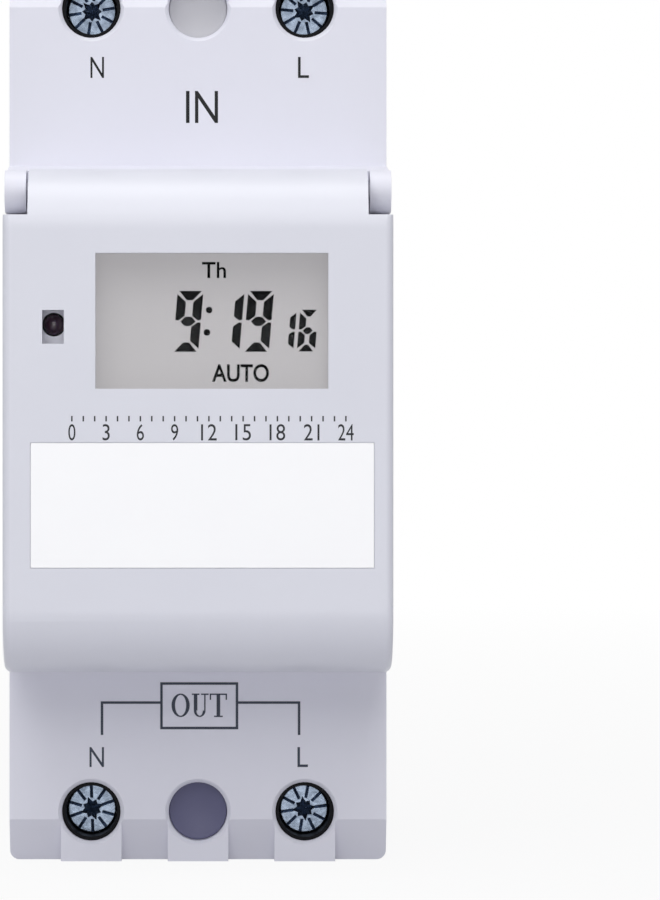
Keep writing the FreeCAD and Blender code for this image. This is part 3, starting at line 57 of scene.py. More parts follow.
def colour(code):
    """The linear colour, with alpha, of an sRGB hex code."""
    parts = [int(code[place:place + 2], 16) / 255 for place in (1, 3, 5)]
    return (*(part / 12.92 if part <= 0.04045 else ((part + 0.055) / 1.055) ** 2.4 for part in parts), 1)


def add_node(tree, kind, inputs=None, **settings):
    """Add one node with its settings, its input values and its links."""
    node = tree.nodes.new(kind)
    for name, setting in settings.items():
        setattr(node, name, setting)
    for key, given in (inputs or {}).items():
        if isinstance(given, bpy.types.NodeSocket):
            tree.links.new(given, node.inputs[key])
        else:
            node.inputs[key].default_value = given
    return node


def new_material(name, **surface):
    """A material with one Principled shader, and the tree and shader to build on."""
    material = bpy.data.materials.new(name)
    material.use_nodes = True
    tree = material.node_tree
    shader = tree.nodes["Principled BSDF"]
    for key, given in surface.items():
        shader.inputs[key.replace("_", " ")].default_value = given
    return material, tree, shader


def tint(tree, shader, darker, lighter, spot_mm):
    """Vary the base colour between two close shades, in soft spots of a real size."""
    place = add_node(tree, "ShaderNodeTexCoord").outputs["Object"]
    spots = add_node(tree, "ShaderNodeTexNoise", {
        "Vector": place, "Scale": 1000 / spot_mm, "Detail": 3.0})
    mix = add_node(tree, "ShaderNodeMix", {
        "Factor": spots.outputs["Fac"], "A": colour(darker), "B": colour(lighter)}, data_type="RGBA")
    tree.links.new(mix.outputs["Result"], shader.inputs["Base Color"])
    return place


def roughen(tree, shader, place, low, high, spot_mm):
    """Vary the roughness between two values, in spots of a real size."""
    spots = add_node(tree, "ShaderNodeTexNoise", {"Vector": place, "Scale": 1000 / spot_mm})
    span = add_node(tree, "ShaderNodeMapRange", {
        "Value": spots.outputs["Fac"], "To Min": low, "To Max": high})
    tree.links.new(span.outputs["Result"], shader.inputs["Roughness"])


def grain(tree, shader, place, size_mm, height_mm):
    """A fine skin of grains of a real size, raised by a real height."""
    noise = add_node(tree, "ShaderNodeTexNoise", {
        "Vector": place, "Scale": 1000 / size_mm, "Detail": 2.0})
    bump = add_node(tree, "ShaderNodeBump", {
        "Height": noise.outputs["Fac"], "Strength": 1.0, "Distance": height_mm * MM})
    tree.links.new(bump.outputs["Normal"], shader.inputs["Normal"])


def moulded_plastic(name, darker, lighter, low, high, grain_mm=0.25, height_mm=0.004, bend=1.53):
    """Injection-moulded plastic: slightly uneven shade and gloss, and a spark-eroded skin.

    The grains of the skin are drawn coarser than real, because finer ones wouldn't show."""
    material, tree, shader = new_material(name, IOR=bend)
    place = tint(tree, shader, darker, lighter, spot_mm=14)
    roughen(tree, shader, place, low, high, spot_mm=6)
    grain(tree, shader, place, grain_mm, height_mm)
    return material


def new_object(name, contents):
    """A mesh, curve, lamp or camera as an object of the scene."""
    thing = bpy.data.objects.new(name, contents)
    bpy.context.scene.collection.objects.link(thing)
    return thing


def new_piece(name, mesh, material, body="housing"):
    """A mesh as a finished piece of the device, which moves with a body."""
    piece = new_object(name, mesh)
    if material:
        mesh.materials.clear()
        mesh.materials.append(material)
    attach(piece, body)
    return piece


def clean_copy(node):
    """A copy of a solid's mesh with its corners joined and its flat faces whole."""
    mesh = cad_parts[node].data.copy()
    shape = bmesh.new()
    shape.from_mesh(mesh)
    bmesh.ops.remove_doubles(shape, verts=shape.verts, dist=0.0008 * MM)
    bmesh.ops.dissolve_limit(shape, angle_limit=math.radians(0.6), verts=shape.verts,
                             edges=shape.edges, delimit={"NORMAL"})
    shape.to_mesh(mesh)
    shape.free()
    mesh.shade_smooth()
    return mesh


def soften(piece, edge_mm, steps=2, from_angle=15):
    """Round a piece's sharp edges by a real radius, and keep its flat faces flat."""
    bevel = piece.modifiers.new("Edges", "BEVEL")
    bevel.width = edge_mm * MM
    bevel.segments = steps
    bevel.limit_method = "ANGLE"
    bevel.angle_limit = math.radians(from_angle)
    bevel.harden_normals = True
    evened = piece.modifiers.new("Flat faces", "WEIGHTED_NORMAL")
    evened.mode = "FACE_AREA"
    evened.keep_sharp = True


def softened(node, material, edge_mm, body="housing", steps=2):
    """A solid with rounded edges, which stands for the plain one."""
    piece = new_piece(node + "_skin", clean_copy(node), material, body)
    soften(piece, edge_mm, steps)
    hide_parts(node)
    return piece


# Satin ABS: broad, soft highlights and a faint cool tint, a shade greyer than the front.
rear_plastic = moulded_plastic("moulded ABS rear shell", "#d9dae4", "#dfe0e9", 0.42, 0.52)
softened("rear_base", rear_plastic, edge_mm=0.2)

# Rail latch: a flat slide of black glass-filled polyamide that a screwdriver pulls down. It runs
# in a guide in the lower foot, and a coil spring of hard-drawn steel wire pushes it back up
# against a stop peg.

# Glass-filled polyamide: black with a dull, slightly rough skin from the fibres.
latch_plastic = moulded_plastic("moulded black polyamide", "#17181a", "#1f2022", 0.38, 0.52,
                                grain_mm=0.4, height_mm=0.006)
softened("din_latch", latch_plastic, edge_mm=0.15, body="latch")


def node_tree(name, sizes):
    """An empty Geometry Nodes tree with named inputs for its sizes, and its ends' sockets."""
    tree = bpy.data.node_groups.new(name, "GeometryNodeTree")
    tree.interface.new_socket("Geometry", in_out="INPUT", socket_type="NodeSocketGeometry")
    for size_name, given in sizes.items():
        kind = "NodeSocketInt" if isinstance(given, int) else "NodeSocketFloat"
        tree.interface.new_socket(size_name, in_out="INPUT", socket_type=kind)
    tree.interface.new_socket("Geometry", in_out="OUTPUT", socket_type="NodeSocketGeometry")
    return tree, add_node(tree, "NodeGroupInput").outputs, add_node(tree, "NodeGroupOutput").inputs


def finished_mesh(helper):
    """The mesh that a helper object ends up with, after which the helper is thrown away."""
    seen = bpy.context.evaluated_depsgraph_get()
    mesh = bpy.data.meshes.new_from_object(helper.evaluated_get(seen))
    bpy.data.objects.remove(helper)
    return mesh


def grown_mesh(tree, sizes):
    """The plain mesh that a Geometry Nodes tree makes with the given sizes."""
    seed = new_object(tree.name + "_seed", bpy.data.meshes.new(tree.name))
    growth = seed.modifiers.new(tree.name, "NODES")
    growth.node_group = tree
    for socket in tree.interface.items_tree:
        if socket.name in sizes:
            growth[socket.identifier] = sizes[socket.name]
    return finished_mesh(seed)


def finish_tree(tree, out, shape, material):
    """Close a tree with real geometry and its material."""
    real = add_node(tree, "GeometryNodeRealizeInstances", {"Geometry": shape})
    coated = add_node(tree, "GeometryNodeSetMaterial", {
        "Geometry": real.outputs[0], "Material": material})
    tree.links.new(coated.outputs[0], out["Geometry"])


def helix_tree(name, material, sizes):
    """Round wire wound into a helix that stands along z."""
    tree, given, out = node_tree(name, sizes)
    spiral = add_node(tree, "GeometryNodeCurveSpiral", {
        "Resolution": given["Steps per turn"], "Rotations": given["Turns"],
        "Start Radius": given["Winding radius"], "End Radius": given["Winding radius"],
        "Height": given["Height"]})
    round_wire = add_node(tree, "GeometryNodeCurvePrimitiveCircle", {
        "Resolution": given["Wire sides"], "Radius": given["Wire radius"]})
    wire = add_node(tree, "GeometryNodeCurveToMesh", {
        "Curve": spiral.outputs[0], "Profile Curve": round_wire.outputs[0], "Fill Caps": True})
    smooth = add_node(tree, "GeometryNodeSetShadeSmooth", {"Geometry": wire.outputs[0]})
    finish_tree(tree, out, smooth.outputs[0], material)
    return tree


def drawn_wire(name, darker, lighter, roughness):
    """Drawn or rolled metal: bright, with fine marks, drawn coarser than real, that blur it."""
    material, tree, shader = new_material(name, Metallic=1.0, Roughness=roughness)
    place = tint(tree, shader, darker, lighter, spot_mm=2)
    grain(tree, shader, place, size_mm=0.12, height_mm=0.002)
    return material


SPRING_WIRE = 0.15
SPRING_TURNS = 13.0
# Drawn wire: grey metal with a bright line along each turn.
spring_steel = drawn_wire("hard-drawn spring steel", "#8d8f94", "#a9abb0", 0.3)
low, high = (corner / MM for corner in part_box("latch_spring"))
spring_sizes = {"Turns": SPRING_TURNS, "Winding radius": ((high.x - low.x) / 2 - SPRING_WIRE) * MM,
                "Height": (high.z - low.z - 2 * SPRING_WIRE) * MM, "Wire radius": SPRING_WIRE * MM,
                "Steps per turn": 28, "Wire sides": 10}
coil = grown_mesh(helix_tree("spring_wire", spring_steel, spring_sizes), spring_sizes)
coil.transform(Matrix.Translation(Vector(((low.x + high.x) / 2, (low.y + high.y) / 2,
                                          low.z + SPRING_WIRE)) * MM))
spring = new_piece("latch_spring_coil", coil, None)
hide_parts("latch_spring")
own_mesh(spring)

# Power board: glass-epoxy laminate under green solder mask, screwed to two posts of the rear
# shell. Its back shows the soldered ends of the parts it carries.

# The mask gives a deep green gloss, and the glass weave under it a faint grid of light. The
# weave is drawn at 5 mm, much coarser than real, because finer wouldn't show.
circuit_board, tree, shader = new_material("glass-epoxy board with green mask", Roughness=0.35, IOR=1.55)
place = tint(tree, shader, "#0d4a2c", "#115535", spot_mm=3)
roughen(tree, shader, place, 0.28, 0.42, spot_mm=2)
WEAVE_PITCH = 5.03
# At scale 1 a wave texture repeats 20 times in a length of tau, here and in the rubber below.
weave = add_node(tree, "ShaderNodeTexWave", {
    "Vector": place, "Scale": 1000 / WEAVE_PITCH * math.tau / 20, "Distortion": 1.0})
WEAVE_RELIEF = 0.01
relief = add_node(tree, "ShaderNodeBump", {
    "Height": weave.outputs["Fac"], "Strength": 0.4, "Distance": WEAVE_RELIEF * MM})
tree.links.new(relief.outputs["Normal"], shader.inputs["Normal"])


def dress_node(name, material):
    """Give a solid that keeps its own mesh its material."""
    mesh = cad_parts[name].data
    mesh.materials.clear()
    mesh.materials.append(material)


dress_node("power_board", circuit_board)

# Tin solder freezes bright, so each joint carries a small sharp glint.
solder = drawn_wire("tin solder", "#b4b6b8", "#cfd0d1", 0.22)
SOLDER_PITCH = 2.54
SOLDER_RADIUS = 0.75
SOLDER_HEIGHT = 0.7


def solder_tree(sizes):
    """Rows of small solder cones on a grid, thinned out at random."""
    tree, given, out = node_tree("solder_joints", sizes)
    field = add_node(tree, "GeometryNodeMeshGrid", {
        "Size X": given["Width"], "Size Y": given["Length"],
        "Vertices X": given["Columns"], "Vertices Y": given["Rows"]})
    chance = add_node(tree, "FunctionNodeRandomValue", {
        "Probability": given["Share"], "Seed": given["Seed"]}, data_type="BOOLEAN")
    cone = add_node(tree, "GeometryNodeMeshCone", {
        "Vertices": given["Sides"], "Radius Top": given["Top radius"],
        "Radius Bottom": given["Radius"], "Depth": given["Height"]})
    rounded = add_node(tree, "GeometryNodeSetShadeSmooth", {"Geometry": cone.outputs[0]})
    placed = add_node(tree, "GeometryNodeInstanceOnPoints", {
        "Points": field.outputs[0], "Selection": chance.outputs[3], "Instance": rounded.outputs[0]})
    finish_tree(tree, out, placed.outputs[0], solder)
    return tree


low, high = (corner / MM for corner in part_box("power_board"))
solder_sizes = {"Width": 8 * SOLDER_PITCH * MM, "Length": 14 * SOLDER_PITCH * MM, "Columns": 9, "Rows": 15,
                "Share": 0.4, "Seed": 5, "Sides": 10, "Radius": SOLDER_RADIUS * MM,
                "Top radius": SOLDER_RADIUS / 3 * MM, "Height": SOLDER_HEIGHT * MM}
joints = grown_mesh(solder_tree(solder_sizes), solder_sizes)
joints.transform(Matrix.Translation(Vector(((low.x + high.x) / 2, high.y, (low.z + high.z) / 2)) * MM)
                 @ Matrix.Rotation(math.radians(-90), 4, "X"))
new_piece("power_board_solder", joints, None)

# Board screws: two small pan-head screws of zinc-plated steel, driven through the power board
# into the posts of the rear shell.

# Clear zinc plating: pale grey metal, bright but blurred.
plated_steel = drawn_wire("zinc-plated steel", "#b9bcc2", "#cdd0d6", 0.32)
dress_node("board_screws", plated_steel)

# Film capacitor: a wound film block in a moulded box of yellow flame-proof plastic, filled
# with resin. Its two legs are soldered through the board.

# Smooth moulded plastic in a strong warm yellow, with a soft sheen.
film_box = moulded_plastic("yellow capacitor box", "#c9a22e", "#d2ac36", 0.35, 0.5)
softened("film_capacitor", film_box, edge_mm=0.3)

# Round capacitor: a rolled aluminium can in a black sleeve that was shrunk on with heat, so
# that it pulls tight round the rim. It stands on the board.

# Stretched film is glossier than moulded parts, with long streaks of light down the can.
sleeve = moulded_plastic("black shrunk sleeve", "#16181d", "#1c1f26", 0.2, 0.3,
                         grain_mm=1.2, height_mm=0.01)
softened("smoothing_capacitor", sleeve, edge_mm=0.4, steps=3)

# Varistor: a pressed zinc-oxide disc dipped in blue epoxy powder and baked. It stands on edge
# by the supply terminals, where it takes up spikes of voltage.

# The baked dip is glossy and a little lumpy, so its highlights wander.
varistor_coat = moulded_plastic("dipped blue epoxy", "#1f4f8d", "#275a9a", 0.22, 0.34,
                                grain_mm=1.5, height_mm=0.03)
softened("varistor", varistor_coat, edge_mm=0.8, steps=4)

# Rectifier diodes and resistors: small bodies on tinned legs, lying on the board. The diodes
# are moulded in black epoxy and the resistors are ceramic rods dipped in lacquer.

# Moulding epoxy: dull charcoal with a fine, even grain.
chip_resin = moulded_plastic("moulded black epoxy", "#141416", "#1b1b1e", 0.45, 0.6,
                             grain_mm=0.2, height_mm=0.006)
softened("rectifier_diodes", chip_resin, edge_mm=0.15)
# The dipped lacquer is a pale blue with a rounded gloss.
resistor_coat = moulded_plastic("dipped pale blue lacquer", "#7fa4ad", "#8bb0b8", 0.3, 0.42,
                                grain_mm=0.8, height_mm=0.01)
softened("resistors", resistor_coat, edge_mm=0.45, steps=3)

# Relay: an iron yoke and core, a wound coil, and an armature that closes the contact, under a
# thin black cap that snaps on its base. The iron is stamped and annealed, and the contact
# springs are rolled copper alloy riveted to it.

# Glass-filled polyester: near black with a low, even sheen.
relay_plastic = moulded_plastic("moulded black polyester", "#191a1d", "#212226", 0.32, 0.45)
softened("relay_case", relay_plastic, edge_mm=0.35)
softened("relay_base", relay_plastic, edge_mm=0.1)
# Annealed iron: a warm grey whose highlights are broad and soft.
relay_iron = drawn_wire("annealed relay iron", "#8b8a86", "#9c9b97", 0.42)
softened("relay_yoke", relay_iron, edge_mm=0.12)
softened("relay_armature", relay_iron, edge_mm=0.12, body="armature")
# Rolled copper: a reddish metal with a slightly blurred mirror.
strap_copper = drawn_wire("rolled copper", "#a8603a", "#b66f46", 0.34)
softened("relay_contact_arm", strap_copper, edge_mm=0.06, body="armature")
softened("relay_fixed_contact", strap_copper, edge_mm=0.06)

# Relay coil: enamelled copper wire wound in layers on the core. The turns are drawn four times
# as thick as the real wire, because finer ones wouldn't show.

# The enamel deepens the copper to a red brown and gives each turn a bright line.
coil_wire = drawn_wire("enamelled copper wire", "#8a3f1e", "#9d4c26", 0.3)
TURN_PITCH = 0.45
TURN_OVERLAP = 1.05


def face_front(mesh, low, high, foot, turn=0):
    """Lay a round mesh that stands along z towards the front, in line with a box in mm."""
    place = Vector(((low.x + high.x) / 2, foot, (low.z + high.z) / 2)) * MM
    mesh.transform(Matrix.Translation(place) @ Matrix.Rotation(math.radians(90), 4, "X")
                   @ Matrix.Rotation(math.radians(turn), 4, "Z"))
    mesh.shade_smooth()


low, high = (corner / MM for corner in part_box("relay_coil"))
coil_length = high.y - low.y
coil_sizes = {"Turns": coil_length / TURN_PITCH - 1,
              "Winding radius": ((high.x - low.x) / 2 - TURN_PITCH / 2) * MM,
              "Height": (coil_length - TURN_PITCH) * MM, "Wire radius": TURN_PITCH / 2 * TURN_OVERLAP * MM,
              "Steps per turn": 48, "Wire sides": 8}
turns = grown_mesh(helix_tree("coil_wire", coil_wire, coil_sizes), coil_sizes)
face_front(turns, low, high, high.y - TURN_PITCH / 2)
winding = new_piece("relay_coil_winding", turns, None)
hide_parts("relay_coil")

# Clamp bars and straps: stamped from half-hard brass and copper strip. Each bar is the fixed
# side of a terminal, held in ribs of the shells, and the straps take the current from the bars
# to the power board.
STAMPED_EDGE = 0.12
# Rolled brass gives a warm, slightly blurred glint deep inside the cable entries.
terminal_brass = drawn_wire("rolled brass", "#b08d4a", "#bf9c58", 0.3)
softened("clamp_bars", terminal_brass, STAMPED_EDGE)
for strap in ("neutral_strap", "live_strap_out", "live_strap_in"):
    softened(strap, strap_copper, STAMPED_EDGE)

# Terminal cages: square loops bent from steel strip, tapped for their screws and zinc plated.
# Each rides up on its screw and presses the wire against the bar.

# Plated strip looks pale grey and fairly bright, with no sharp reflections.
cage_steel = drawn_wire("zinc-plated cage steel", "#a9adb4", "#bfc3ca", 0.33)

# Terminal screws: cold-headed steel with a bright blue zinc finish. The head has a star-shaped
# recess for the driver, and the V-shaped grooves of the heading die divide its face into petals.
# The shank's thread, cut as rings here, turns in the cage and can't be seen from outside.
HEAD_EDGE = 0.12
PETAL_CREASE = 18
RIB_COUNT = 10
RIB_MIDDLE = 0.68
RIB_LENGTH = 0.5
RIB_WIDTH = 0.3
RIB_STEEPNESS = 2.0
RECESS_RADII = (1.2, 0.7, 0.95, 0.7)
RECESS_CORNERS = 16
RECESS_DEPTH = 0.95
HEAD_MARGIN = 0.12
CROSS_TURNS = {"out_n": 20, "out_l": 8, "in_n": 45, "in_l": 31}
# Blue-passivated zinc over a cold-formed face is bright but mottled. The wide spread of its spots, from
# slate to pale blue, is partly that mottling and partly painted reflection, standing for petals that catch
# the light unevenly.
screw_zinc, tree, shader = new_material("blue zinc plating", Metallic=1.0, Roughness=0.2)
place = tint(tree, shader, "#3d4856", "#a3b0c3", spot_mm=0.7)
roughen(tree, shader, place, 0.16, 0.34, spot_mm=0.7)
grain(tree, shader, place, size_mm=0.35, height_mm=0.012)


def rib_tree(sizes):
    """Square bars on edge, laid out round a centre, which cut the V-shaped grooves of a head."""
    tree, given, out = node_tree("radial_grooves", sizes)
    ring = add_node(tree, "GeometryNodeMeshCircle", {"Vertices": given["Count"], "Radius": given["Ring"]})
    blade = add_node(tree, "GeometryNodeMeshCube")
    size = add_node(tree, "ShaderNodeCombineXYZ", {
        "X": given["Length"], "Y": given["Width"], "Z": given["Width"]})
    tree.links.new(size.outputs[0], blade.inputs["Size"])
    on_edge = add_node(tree, "GeometryNodeTransform", {
        "Geometry": blade.outputs[0], "Rotation": (math.radians(45), 0, 0)})
    steep = add_node(tree, "GeometryNodeTransform", {
        "Geometry": on_edge.outputs[0], "Scale": (1, 1, RIB_STEEPNESS)})
    heading = add_node(tree, "FunctionNodeAlignEulerToVector", {
        "Vector": add_node(tree, "GeometryNodeInputPosition").outputs[0]}, axis="X")
    placed = add_node(tree, "GeometryNodeInstanceOnPoints", {
        "Points": ring.outputs[0], "Instance": steep.outputs[0], "Rotation": heading.outputs[0]})
    finish_tree(tree, out, placed.outputs[0], screw_zinc)
    return tree


def finished(shape, name):
    """A mesh from a bmesh, with its faces turned outwards."""
    bmesh.ops.recalc_face_normals(shape, faces=shape.faces)
    mesh = bpy.data.meshes.new(name)
    shape.to_mesh(mesh)
    shape.free()
    return mesh


def turned_mesh(profile, sides):
    """A round mesh about z, from (radius, height) pairs from axis to axis or round a ring."""
    shape = bmesh.new()
    corners = [shape.verts.new((radius * MM, 0, height * MM)) for radius, height in profile]
    lines = [shape.edges.new(pair) for pair in zip(corners, corners[1:])]
    bmesh.ops.spin(shape, geom=corners + lines, cent=(0, 0, 0), axis=(0, 0, 1),
                   angle=math.tau, steps=sides, use_merge=True)
    bmesh.ops.remove_doubles(shape, verts=shape.verts, dist=0.001 * MM)
    return finished(shape, "turned")


def star_plug(depth):
    """A plug with the outline of a driver's star tip, which narrows to a point at its foot."""
    shape = bmesh.new()
    upper, lower = [], []
    for ring, height in ((upper, depth), (lower, 0)):
        for n in range(RECESS_CORNERS):
            reach = RECESS_RADII[n % 4] * MM
            turn = math.tau * n / RECESS_CORNERS
            ring.append(shape.verts.new((reach * math.cos(turn), reach * math.sin(turn), height * MM)))
    point = shape.verts.new((0, 0, -depth * MM))
    shape.faces.new(upper)
    for n in range(RECESS_CORNERS):
        after = (n + 1) % RECESS_CORNERS
        shape.faces.new((upper[n], lower[n], lower[after], upper[after]))
        shape.faces.new((lower[n], point, lower[after]))
    return finished(shape, "star")


def carve(mesh, cutter):
    """The mesh left when a cutter mesh is taken away."""
    base = new_object("carved", mesh)
    tool = new_object("cutter", cutter)
    cutting = base.modifiers.new("Cut", "BOOLEAN")
    cutting.operation = "DIFFERENCE"
    cutting.solver = "EXACT"
    cutting.object = tool
    left = finished_mesh(base)
    bpy.data.objects.remove(tool)
    return left


low, high = (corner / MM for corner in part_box("terminal_screw_out_n"))
head_radius = (high.x - low.x) / 2 - HEAD_MARGIN
HEAD_HEIGHT = 2.4
THREAD_PITCH = 0.7
THREAD_ROOT = 1.7
THREAD_CREST = 1.97
length = high.y - low.y
screw_profile = [(0, 0), (THREAD_ROOT, 0)]
thread_end = length - HEAD_HEIGHT - THREAD_PITCH / 2
for turn in range(int(thread_end / THREAD_PITCH)):
    for share, radius in ((0.1, THREAD_ROOT), (0.5, THREAD_CREST), (0.9, THREAD_ROOT)):
        screw_profile.append((radius, (turn + share) * THREAD_PITCH))
screw_profile += [(THREAD_ROOT, length - HEAD_HEIGHT),
                  (head_radius - HEAD_EDGE, length - HEAD_HEIGHT),
                  (head_radius, length - HEAD_HEIGHT + HEAD_EDGE), (head_radius, length - 1.5 * HEAD_EDGE),
                  (head_radius - 0.4 * HEAD_EDGE, length - 0.5 * HEAD_EDGE),
                  (head_radius - 1.5 * HEAD_EDGE, length), (0, length)]
rib_sizes = {"Count": RIB_COUNT, "Ring": head_radius * RIB_MIDDLE * MM,
             "Length": head_radius * RIB_LENGTH * MM, "Width": RIB_WIDTH / math.sqrt(2) * MM}
SCREW_SIDES = 48
bare_screw = turned_mesh(screw_profile, SCREW_SIDES)
for cutter in (star_plug(RECESS_DEPTH), grown_mesh(rib_tree(rib_sizes), rib_sizes)):
    cutter.transform(Matrix.Translation((0, 0, length * MM)))
    bare_screw = carve(bare_screw, cutter)
for name, turn in CROSS_TURNS.items():
    low, high = (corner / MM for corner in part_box("terminal_screw_" + name))
    screw = bare_screw.copy()
    face_front(screw, low, high, high.y, turn)
    screw.set_sharp_from_angle(angle=math.radians(PETAL_CREASE))
    piece = new_piece("screw_head_" + name, screw, screw_zinc, "screw_" + name)
    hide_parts("terminal_screw_" + name)
    softened("terminal_cage_" + name, cage_steel, edge_mm=0.25,
             body="cage_" + name)

# Screw gap shades: black rings of painted shade set into the four screw holes round the heads. They stand
# for the shade deep in the gap round each head, and show as a dark ring round it.
SHADE_RING_INNER = 2.46
SHADE_RING_OUTER = 2.78
SHADE_RING_BACK = 38.0
SHADE_RING_FRONT = 43.4
RAIL_Y = 27.25
# The rings are painted shade: dull black with almost no reflection, so each reads as a shadow gap. Their
# bending of light is set lower than real, because the room here is far whiter than a cabinet.
gap_shade_plastic = moulded_plastic("black painted gap shade", "#08080c", "#0c0c10", 0.5, 0.6, bend=1.2)
ROUND_SIDES = 64
for name in CROSS_TURNS:
    low, high = (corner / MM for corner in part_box("terminal_screw_" + name))
    shade_ring = turned_mesh([(SHADE_RING_INNER, SHADE_RING_BACK), (SHADE_RING_OUTER, SHADE_RING_BACK), (SHADE_RING_OUTER, SHADE_RING_FRONT),
                         (SHADE_RING_INNER, SHADE_RING_FRONT), (SHADE_RING_INNER, SHADE_RING_BACK)], ROUND_SIDES)
    face_front(shade_ring, low, high, RAIL_Y)
    piece = new_piece("screw_gap_shade_" + name, shade_ring, gap_shade_plastic)
    soften(piece, edge_mm=0.06)

# Control board: a thinner sheet of the same laminate behind the display and keys, with its
# chip, clock crystal, backup battery and the strip that joins it to the power board.
dress_node("control_board", circuit_board)
softened("timer_chip", chip_resin, edge_mm=0.12)
# Nickel plating: a bright metal with a slightly warm tone, for the crystal's can and the cell.
can_steel = drawn_wire("nickel-plated can", "#b7b6b0", "#c9c8c2", 0.25)
softened("clock_crystal", can_steel, edge_mm=0.2)
softened("backup_battery", can_steel, edge_mm=0.5, steps=3)
# The strip's insulation is a plain dark plastic with little shine.
link_plastic = moulded_plastic("moulded link strip", "#1a1b1e", "#232428", 0.4, 0.5)
softened("board_link", link_plastic, edge_mm=0.12)

# Push switches: eight small tactile switches soldered to the control board, one under each
# key. Their cases and plungers are moulded in black plastic.

# Black polyamide: dark, with a soft grey sheen on its flat tops.
switch_plastic = moulded_plastic("moulded switch case", "#1d1e21", "#26272b", 0.4, 0.55)
softened("push_switches", switch_plastic, edge_mm=0.12)

# Display: two ground sheets of glass with liquid crystal between them and a grey reflector
# behind, held in a plastic frame on two strips of layered contact rubber.

# A plain mid-grey moulding that darkens the gap between the glass and the platform.
frame_plastic = moulded_plastic("moulded grey frame", "#5b5e64", "#676a70", 0.4, 0.55)
softened("lcd_frame", frame_plastic, edge_mm=0.1)
# Contact rubber: dull pink and black layers, drawn at 1.6 mm, much coarser than real, so that
# they show as stripes.
contact_rubber, tree, shader = new_material("layered contact rubber", Roughness=0.7, IOR=1.41)
LAYER_PITCH = 1.57
stripes = add_node(tree, "ShaderNodeTexWave", {
    "Vector": add_node(tree, "ShaderNodeTexCoord").outputs["Object"],
    "Scale": 1000 / LAYER_PITCH * math.tau / 20})
bands = add_node(tree, "ShaderNodeMix", {
    "Factor": stripes.outputs["Fac"], "A": colour("#1b1b1c"), "B": colour("#8e5c66")}, data_type="RGBA")
tree.links.new(bands.outputs["Result"], shader.inputs["Base Color"])
dress_node("contact_strips", contact_rubber)
# Display glass: the reflector behind it sends light straight back, so the panel looks an even neutral grey.
# Part of that light is painted in here as a steady glow, which keeps the shaded corners of the recess from
# going dark.
display_glass, tree, shader = new_material("display glass with a painted glow",
                                           Emission_Strength=1.0, IOR=1.3)
shader.inputs["Emission Color"].default_value = colour("#8f8d8e")
place = tint(tree, shader, "#9b999a", "#a09e9f", spot_mm=5)
roughen(tree, shader, place, 0.26, 0.32, spot_mm=3)
softened("lcd_panel", display_glass, edge_mm=0.15)

# Segments: the darkened liquid crystal that shows the day, the time and the AUTO mark. It lies
# between the two sheets of glass, and each segment is a thin slanted plate here.

# It's almost black and has hardly any shine of its own, because glass covers it.
segment_ink, tree, shader = new_material("darkened liquid crystal", Roughness=0.2, IOR=1.05)
tint(tree, shader, "#030304", "#060607", spot_mm=2)
# Every segment and print is a film of this thickness, in mm.
FILM_THICK = 0.02
DIGIT_SLANT = math.radians(5)
SEGMENT_GAP = 0.16
# The bars of a figure run a, b, c, d, e, f round it from the top, and g lies across its middle.
LIT = {"1": "bc", "6": "acdefg", "9": "abcdfg"}


def plate(shape, corners, thick=FILM_THICK):
    """A thin flat plate in a bmesh, from (x, z) corners round its outline, towards the front."""
    back = [shape.verts.new((x * MM, 0, z * MM)) for x, z in corners]
    front = [shape.verts.new((x * MM, -thick * MM, z * MM)) for x, z in corners]
    shape.faces.new(back)
    shape.faces.new(front[::-1])
    for n in range(len(corners)):
        after = (n + 1) % len(corners)
        shape.faces.new((back[n], front[n], front[after], back[after]))


def digit(shape, figure, left, right, low, high, bold):
    """A seven-segment figure in a slanted box, its bars cut at a slope where they meet."""
    wide, tall = right - left, (high - low) / 2
    gap, nip, half = SEGMENT_GAP, SEGMENT_GAP / 3, bold / 2
    flat = [(gap, tall), (wide - gap, tall), (wide - bold - nip, tall - bold), (bold + nip, tall - bold)]
    upright = [(0, tall - 1.8 * gap), (bold, tall - bold - gap), (bold, half + gap / 2),
               (bold / 3, gap / 2), (0, gap * 0.9)]
    middle = [(half + nip, 0), (bold + nip, half), (wide - bold - nip, half), (wide - half - nip, 0),
              (wide - bold - nip, -half), (bold + nip, -half)]
    bars = {"a": flat, "d": [(x, -z) for x, z in flat],
            "f": upright, "e": [(x, -z) for x, z in upright],
            "b": [(wide - x, z) for x, z in upright], "c": [(wide - x, -z) for x, z in upright],
            "g": middle}
    for name in LIT[figure]:
        plate(shape, [(left + x + (z + tall) * math.tan(DIGIT_SLANT), low + tall + z)
                      for x, z in bars[name]])


glass_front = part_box("lcd_panel")[0].y
shape = bmesh.new()
# Each figure's left, right, foot and top, and the width of its bars, in mm.
digit(shape, "9", -2.38, 0.02, 48.51, 54.16, 0.86)
digit(shape, "1", 1.42, 3.84, 48.51, 54.16, 0.80)
digit(shape, "9", 4.18, 6.58, 48.51, 54.16, 0.86)
digit(shape, "1", 7.26, 8.84, 48.54, 52.42, 0.55)
digit(shape, "6", 9.17, 10.86, 48.54, 52.42, 0.63)
DOT_RADIUS = 0.31
for x, z in ((1.03, 52.39), (0.83, 50.31)):
    turns = [math.tau * n / 20 for n in range(20)]
    plate(shape, [(x + DOT_RADIUS * math.cos(turn), z + DOT_RADIUS * math.sin(turn)) for turn in turns])
segments = finished(shape, "segments")
segments.transform(Matrix.Translation((0, glass_front, 0)))
new_piece("lcd_segments", segments, segment_ink)
# Prints stand out this far, in mm, from the face they lie on.
PROUD = 0.005


